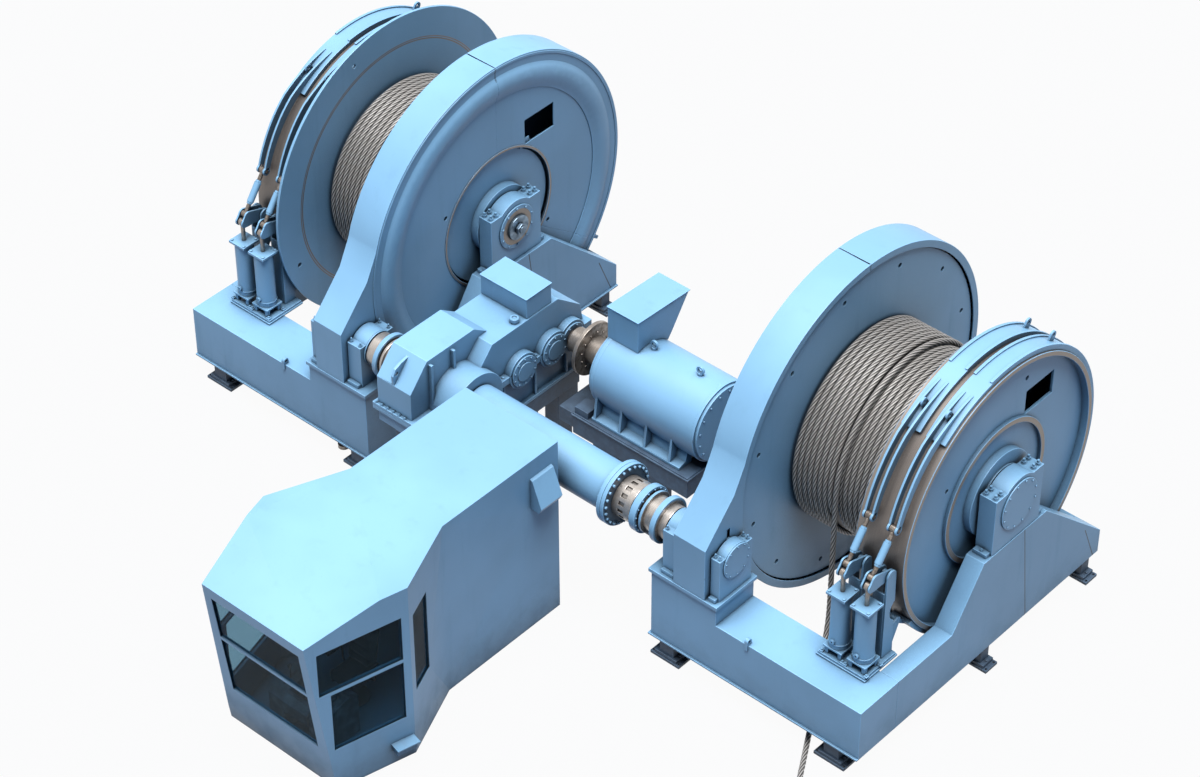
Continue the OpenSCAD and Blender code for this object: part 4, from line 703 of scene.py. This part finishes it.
def bent_tube(name, points, radius, finish, spot):
    """A tube bent along points."""
    curve = line_of(name, rounded_route([Vector(p) for p in points], 5))
    curve.bevel_depth, curve.bevel_resolution, curve.use_fill_caps = radius, 4, True
    curve.materials.append(finishes[finish])
    piece = bpy.data.objects.new(name, curve)
    scene.collection.objects.link(piece)
    return placed(piece, spot)


def line_of(name, *runs):
    """A curve with one spline for each run of points."""
    curve = bpy.data.curves.new(name, "CURVE")
    curve.dimensions = "3D"
    for points in runs:
        spline = curve.splines.new("POLY")
        spline.points.add(len(points) - 1)
        for point, place in zip(spline.points, points):
            point.co = (*place, 1.0)
    return curve


def rounded_route(points, steps=6):
    """The same route with more points on a smooth curve through them."""
    ends = [points[0] + (points[0] - points[1]), *points, points[-1] + (points[-1] - points[-2])]
    out = []
    for k in range(1, len(ends) - 2):
        a, b, c, d = ends[k - 1:k + 3]
        for j in range(steps):
            t = j / steps
            out.append(0.5 * (2 * b + (c - a) * t + (2 * a - 5 * b + 4 * c - d) * t * t
                              + (3 * b - a - 3 * c + d) * t ** 3))
    return [*out, points[-1]]


def free_rope(side, s):
    """The rope from the top of its drum to its socket, as a cord."""
    over = [Vector((s * LEAD_X, AXLE_Y + LEAD_R * cos(radians(a)), AXLE_Z + LEAD_R * sin(radians(a))))
            for a in range(20, 181, 10)]
    route = [at(*place) for place in (ROUTE_LEFT if s < 0 else ROUTE_RIGHT)]
    way = rounded_route([*over, *route])
    length = sum((b - a).length for a, b in zip(way, way[1:]))
    piece = grown(f"rope_{side}", line_of(f"rope_{side}", way), ROPE_TREE, {"Finish": finishes["rope"]})
    fitted(piece, "base", "rope", f"free_rope_{side}")
    tuple(way[0])
    [tuple(p) for p in way]
    parts["rope_sockets"]


def wound_rope(side, s):
    """The layers of rope on a drum, with their ends tucked in."""
    per_turn, tuck, tucked_points = 72, 0.045, 3
    laps = []
    for radius, x0, x1, start, turns, low in LAYERS:
        count, lap = int(turns * per_turn), []
        for k in range(count + 1):
            near_end = max(0, 1 - k / tucked_points, 1 - (count - k) / tucked_points)
            reach = radius - tuck * near_end ** 2 - low * max(0, 1 - k / per_turn)
            x, turn = s * (x0 + (x1 - x0) * k / count), radians(start + k * 360 / per_turn)
            lap.append(Vector((x, AXLE_Y + reach * cos(turn), AXLE_Z + reach * sin(turn))))
        laps.append(lap)
    curve = line_of(f"laps_{side}", *laps)
    piece = grown(f"wound_rope_{side}", curve, ROPE_TREE, {"Finish": finishes["rope"]})
    fitted(piece, f"drum_{side}_body", "rope", f"winding_{side}")


# The two kinds of split bearing housings, in the source's own numbers: the axle, the height of the foot, the
# half width, shoulder and dome around the axle, the X of the faces, the studs and the keepers beside the feet
DRUM_BEARING = SimpleNamespace(
    y=DRUM_Y, z=AXLE_Z, foot=1.986, half=0.50, shoulder=0.33, dome=0.43,
    faces=[(2.620, 2.849), (5.727, 5.988)],
    stud_y=(0.445, 0.345), stud_in=0.055, stud_size=0.034, stud_high=0.066,
    keeper=0.09, keeper_in=0.025, keeper_sides=(-1, 1), keeper_bolts=True)
PINION_BEARING = SimpleNamespace(
    y=SHAFT_Y, z=LINE_Z, foot=1.495, half=0.315, shoulder=0.16, dome=0.262,
    faces=[(2.690, 2.935), (3.485, 3.635)],
    stud_y=(0.270,), stud_in=0.038, stud_size=0.024, stud_high=0.058,
    keeper=0.06, keeper_in=0.020, keeper_sides=(-1,), keeper_bolts=False)


def housings(name, kind, s, node):
    """Split bearing housings with shoulders for their studs, which stand for the plain ones."""
    shape = bmesh.new()
    lean = asin(kind.shoulder / kind.dome)
    dome = [lean + (pi - 2 * lean) * k / 40 for k in range(41)]
    outline = [
        (-kind.half, kind.foot - kind.z), (-kind.half, kind.shoulder),
        *[(-kind.dome * cos(a), kind.dome * sin(a)) for a in dome],
        (kind.half, kind.shoulder), (kind.half, kind.foot - kind.z)]
    for faces in kind.faces:
        ends = [[shape.verts.new(at(s * x, kind.y + u, kind.z + w)) for u, w in outline] for x in faces]
        shape.faces.new(ends[0])
        shape.faces.new(ends[1][::-1])
        for k in range(len(outline)):
            j = (k + 1) % len(outline)
            shape.faces.new((ends[0][j], ends[0][k], ends[1][k], ends[1][j]))
    bmesh.ops.recalc_face_normals(shape, faces=shape.faces)
    return dressed(shape, name, "painted", finishes["painted"], "base", node)


def studs(name, kind, s):
    """Studs with nuts on the shoulders of the housings."""
    top = kind.z + kind.shoulder + 0.002
    bolts(name, kind.stud_size, kind.stud_high, [
        (at(s * x, kind.y + e * y, top), UP)
        for x0, x1 in kind.faces for x in (x0 + kind.stud_in, x1 - kind.stud_in) for e in (-1, 1)
        for y in kind.stud_y])


def keepers(side, s):
    """The keepers that hold the housings' feet, those of the drum bearings with a bolt."""
    high = 0.06
    rows = [(kind, faces, e) for kind in (DRUM_BEARING, PINION_BEARING)
            for faces in kind.faces for e in kind.keeper_sides]
    for k, (kind, (x0, x1), e) in enumerate(rows):
        x, y = s * (x0 + x1) / 2, kind.y + e * (kind.half + kind.keeper / 2)
        size = (x1 - x0 - 2 * kind.keeper_in, kind.keeper, high)
        keeper = rounded_box(f"keeper_{side}_{k}", size, 0.005, "painted", at(x, y, kind.foot + high / 2))
        fitted(keeper, "base", "painted")
        if kind.keeper_bolts:
            bolts(f"keeper_bolt_{side}_{k}", 0.024, 0.03, [(at(x, y, kind.foot + high + 0.001), UP)])


def window_plate(side, s):
    """The small plate with three screws in a guard's inspection window."""
    size, spot = (0.016, 0.19, 0.13), at(s * 2.979, 3.67, 3.50)
    fitted(rounded_box(f"window_plate_{side}", size, 0.004, "painted", spot), "base", "painted")
    bolts(f"window_plate_screws_{side}", 0.013, 0.016,
          [(at(s * 2.971, 3.665 + k * 0.045, 3.51), (-s, 0, 0)) for k in range(3)])


def gearbox_fittings():
    """The screws along the joint of the gearbox case and the breather on its hood."""
    joint_z = 2.066
    joint = [(at(-1.86 + 0.105 * k, -0.465, joint_z), UP) for k in range(6)]
    joint += [(at(-0.94, y, joint_z), UP) for y in (-0.42, -0.30)]
    joint += [(at(-1.88, -0.35 + 0.24 * k, joint_z), UP) for k in range(5)]
    bolts("gearbox_joint_screws", 0.021, 0.026, joint)
    breather = turned_part("gearbox_breather", [
        (0.0, 0.010), (0.034, 0.010), (0.036, 0.022), (0.058, 0.022), (0.066, 0.014), (0.066, -0.03),
        (0.0, -0.03)], "painted", at(-1.09, 1.41034, 2.758))
    fitted(breather, "base", "painted")


def pane_seals():
    """A rubber frame round every pane of the cabin, on its outer face."""
    middle = at(CABIN_X, -3.2, 1.5)
    wide, high, smallest_pane = 0.024, 0.014, 0.2
    panes, seals = bmesh.new(), bmesh.new()
    panes.from_mesh(parts["cabin_glass"].data)
    bmesh.ops.remove_doubles(panes, verts=panes.verts, dist=2e-5)
    bmesh.ops.dissolve_limit(panes, angle_limit=radians(1), verts=panes.verts, edges=panes.edges)
    for pane in panes.faces:
        out = pane.normal.copy()
        if pane.calc_area() < smallest_pane or out.dot(pane.calc_center_median() - middle) < 0:
            continue
        sheet = seals.faces.new([seals.verts.new(v.co + out * 0.0005) for v in pane.verts])
        frame_faces = bmesh.ops.inset_region(
            seals, faces=[sheet], thickness=wide, use_boundary=True, use_even_offset=True)["faces"]
        bmesh.ops.delete(seals, geom=[sheet], context="FACES")
        grown_up = bmesh.ops.extrude_face_region(seals, geom=frame_faces, use_keep_orig=True)["geom"]
        risen = [g for g in grown_up if isinstance(g, bmesh.types.BMVert)]
        bmesh.ops.translate(seals, vec=out * high, verts=risen)
    bmesh.ops.recalc_face_normals(seals, faces=seals.faces)
    panes.free()
    return fitted(shaped("pane_seals", seals, finishes["rubber"]), "base", "window")


def cushion(name, size, corner, channels, spot, turn):
    """A seat pad swollen by cloth pressure, with sewn channels pressed in across it afterwards."""
    wide, deep, tall = size
    slack, voxel, most_swell, settled = 0.030, 0.006, 0.014, 20
    unswollen = [length - slack for length in size]
    piece = rounded_box(name, unswollen, 0.022, "upholstery", (0, 0, 0), corner=corner)
    even = piece.modifiers.new("even", "REMESH")
    even.mode, even.voxel_size = "VOXEL", voxel
    piece = settle(piece)
    rest = [v.co.copy() for v in piece.data.vertices]
    held = piece.vertex_groups.new(name="rests")
    held.add([k for k, co in enumerate(rest) if co.z < voxel - tall / 2 + slack / 2], 1.0, "REPLACE")
    cloth = piece.modifiers.new("swell", "CLOTH")
    cloth.settings.use_pressure, cloth.settings.uniform_pressure_force = True, 4.0
    cloth.settings.vertex_group_mass = "rests"
    cloth.settings.effector_weights.gravity = 0.0
    cloth.collision_settings.use_collision = False
    cloth.point_cache.frame_start, cloth.point_cache.frame_end = 1, settled
    for tick in range(1, settled + 1):
        scene.frame_set(tick)
    piece = settle(piece)
    scene.frame_set(1)
    for vertex, was in zip(piece.data.vertices, rest):
        move = vertex.co - was
        vertex.co = was + move * min(1.0, most_swell / max(move.length, 1e-6))
    for vertex in piece.data.vertices:
        co = vertex.co
        if co.z > 0:
            crown = max(0.0, 1 - (2 * co.x / wide) ** 2) * max(0.0, 1 - (2 * co.y / deep) ** 2)
            pull = sum(exp(-((co[axis] - spot_at) / 0.011) ** 2) for axis, spot_at in channels)
            co.z += 0.012 * crown ** 0.5 - 0.010 * pull * min(1.0, crown * 4)
    soft = piece.modifiers.new("soft", "SUBSURF")
    soft.levels = soft.render_levels = 1
    for face in piece.data.polygons:
        face.use_smooth = True
    piece = placed(piece, spot, turn)
    return fitted(piece, "base", "upholstery", "operator_seat")


def operator_seat():
    """The seat in place of its plain solid: two cushions, their pan and shell, arms and a bellows column."""
    cushion("seat_cushion", (0.48, 0.48, 0.11), 0.06, [(0, -0.12), (0, 0.12)],
            SEAT + Vector((0, 0, 0.425)), (0, 0, 0))
    cushion("seat_back", (0.46, 0.64, 0.10), 0.07, [(1, -0.15), (1, 0.0), (1, 0.15)],
            SEAT + Vector((0, 0.2081, 0.7937)), (80, 0, 0))
    bellows = [(0.092 if k % 2 else 0.070, 0.06 + 0.024 * k) for k in range(10)]
    column = turned_part("seat_column", [
        (0.0, 0.0), (0.205, 0.0), (0.21, 0.006), (0.21, 0.022), (0.20, 0.03), (0.11, 0.034), (0.078, 0.05),
        *bellows, (0.060, 0.30), (0.060, 0.33), (0.0, 0.33)], "knob", SEAT)
    fitted(column, "base", "knob", "operator_seat")
    for name, size, edge, spot, turn in (
            ("seat_pan", (0.41, 0.41, 0.036), 0.010, (0, 0, 0.350), (0, 0, 0)),
            ("seat_shell", (0.43, 0.60, 0.018), 0.007, (0, 0.262, 0.808), (80, 0, 0)),
            ("seat_slide_left", (0.03, 0.44, 0.022), 0.004, (-0.15, 0, 0.330), (0, 0, 0)),
            ("seat_slide_right", (0.03, 0.44, 0.022), 0.004, (0.15, 0, 0.330), (0, 0, 0)),
            ("seat_arm_left", (0.07, 0.33, 0.046), 0.018, (-0.29, 0.005, 0.667), (0, 0, 0)),
            ("seat_arm_right", (0.07, 0.33, 0.046), 0.018, (0.29, 0.005, 0.667), (0, 0, 0))):
        piece = rounded_box(name, size, edge, "knob", SEAT + Vector(spot), turn)
        fitted(piece, "base", "knob", "operator_seat")
    for side, s in SIDES.items():
        bracket = bent_tube(f"seat_bracket_{side}", [
            (s * 0.19, 0.12, 0.358), (s * 0.25, 0.12, 0.362), (s * 0.286, 0.12, 0.40), (s * 0.29, 0.12, 0.50),
            (s * 0.29, 0.11, 0.60), (s * 0.29, 0.10, 0.652)], 0.014, "knob", SEAT)
        fitted(bracket, "base", "knob", "operator_seat")


def unlit_rays(web):
    """1 for the rays that show the surround itself, 0 for those that light the winch with it."""
    seen = web.add("ShaderNodeLightPath")
    return seen["Is Camera Ray"].most(seen["Is Glossy Ray"]).most(seen["Is Transmission Ray"])


def studio_floor():
    """A floor that shows nearly white and takes the winch's shadow."""
    half = 90
    mesh = bpy.data.meshes.new("studio_floor")
    corners = [(-half, -half, 0), (half, -half, 0), (half, half, 0), (-half, half, 0)]
    mesh.from_pydata(corners, [], [(0, 1, 2, 3)])
    floor = bpy.data.objects.new("studio_floor", mesh)
    scene.collection.objects.link(floor)
    floor.location.z = cad_box[0][2] - 0.002
    web, _, close = finish_named("pale_floor")
    glow = web.add("ShaderNodeEmission", None, {"Color": (1, 1, 1, 1), "Strength": 1.0})[0]
    matt = web.add("ShaderNodeBsdfDiffuse", None, {"Color": srgb(88, 99, 118)})[0]
    mesh.materials.append(close(
        web.add("ShaderNodeMixShader", None, {0: unlit_rays(web) * 0.955, 1: matt, 2: glow})[0]))


def white_surround():
    """A world that shows white and lights the winch with a dim, cool blue."""
    world = bpy.data.worlds.new("studio")
    world.use_nodes = True
    world.node_tree.nodes.clear()
    scene.world = world
    web = Web(world.node_tree)
    level = web.mix(unlit_rays(web), (0.070, 0.092, 0.118, 1.0), (1.0, 1.0, 1.0, 1.0))
    air = web.add("ShaderNodeBackground", None, {"Color": level, "Strength": 1.0})[0]
    web.add("ShaderNodeOutputWorld", None, {"Surface": air})


def top_lamp():
    """A wide, soft light from nearly straight above."""
    sun = bpy.data.lights.new("top_lamp", "SUN")
    sun.energy, sun.angle = 6.8, radians(40)
    lamp = bpy.data.objects.new("top_lamp", sun)
    lamp.rotation_euler = Vector((0.08, -0.14, 0.98)).to_track_quat("Z", "Y").to_euler()
    scene.collection.objects.link(lamp)


# The free ropes come first, as cords, then the wound layers and the nodes that keep their shape
for side, s in SIDES.items():
    free_rope(side, s)
for side, s in SIDES.items():
    wound_rope(side, s)
for name in parts:
    if not name.startswith(("winding", "free_rope", "cabin_glass", "operator_seat", "rope_sockets",
                            "drum_bearings", "pinion_bearings")):
        softened(name)
for name in ("cabin_glass", "rope_sockets"):
    for slot in parts[name].material_slots:
        slot.material = finishes[slot_of[name]]
for side, s in SIDES.items():
    for word, kind in (("drum", DRUM_BEARING), ("pinion", PINION_BEARING)):
        housings(f"{word}_housings_{side}", kind, s, f"{word}_bearings_{side}")
        studs(f"{word}_housing_studs_{side}", kind, s)
    keepers(side, s)
    window_plate(side, s)
gearbox_fittings()
pane_seals()
operator_seat()
studio_floor()
white_surround()
top_lamp()
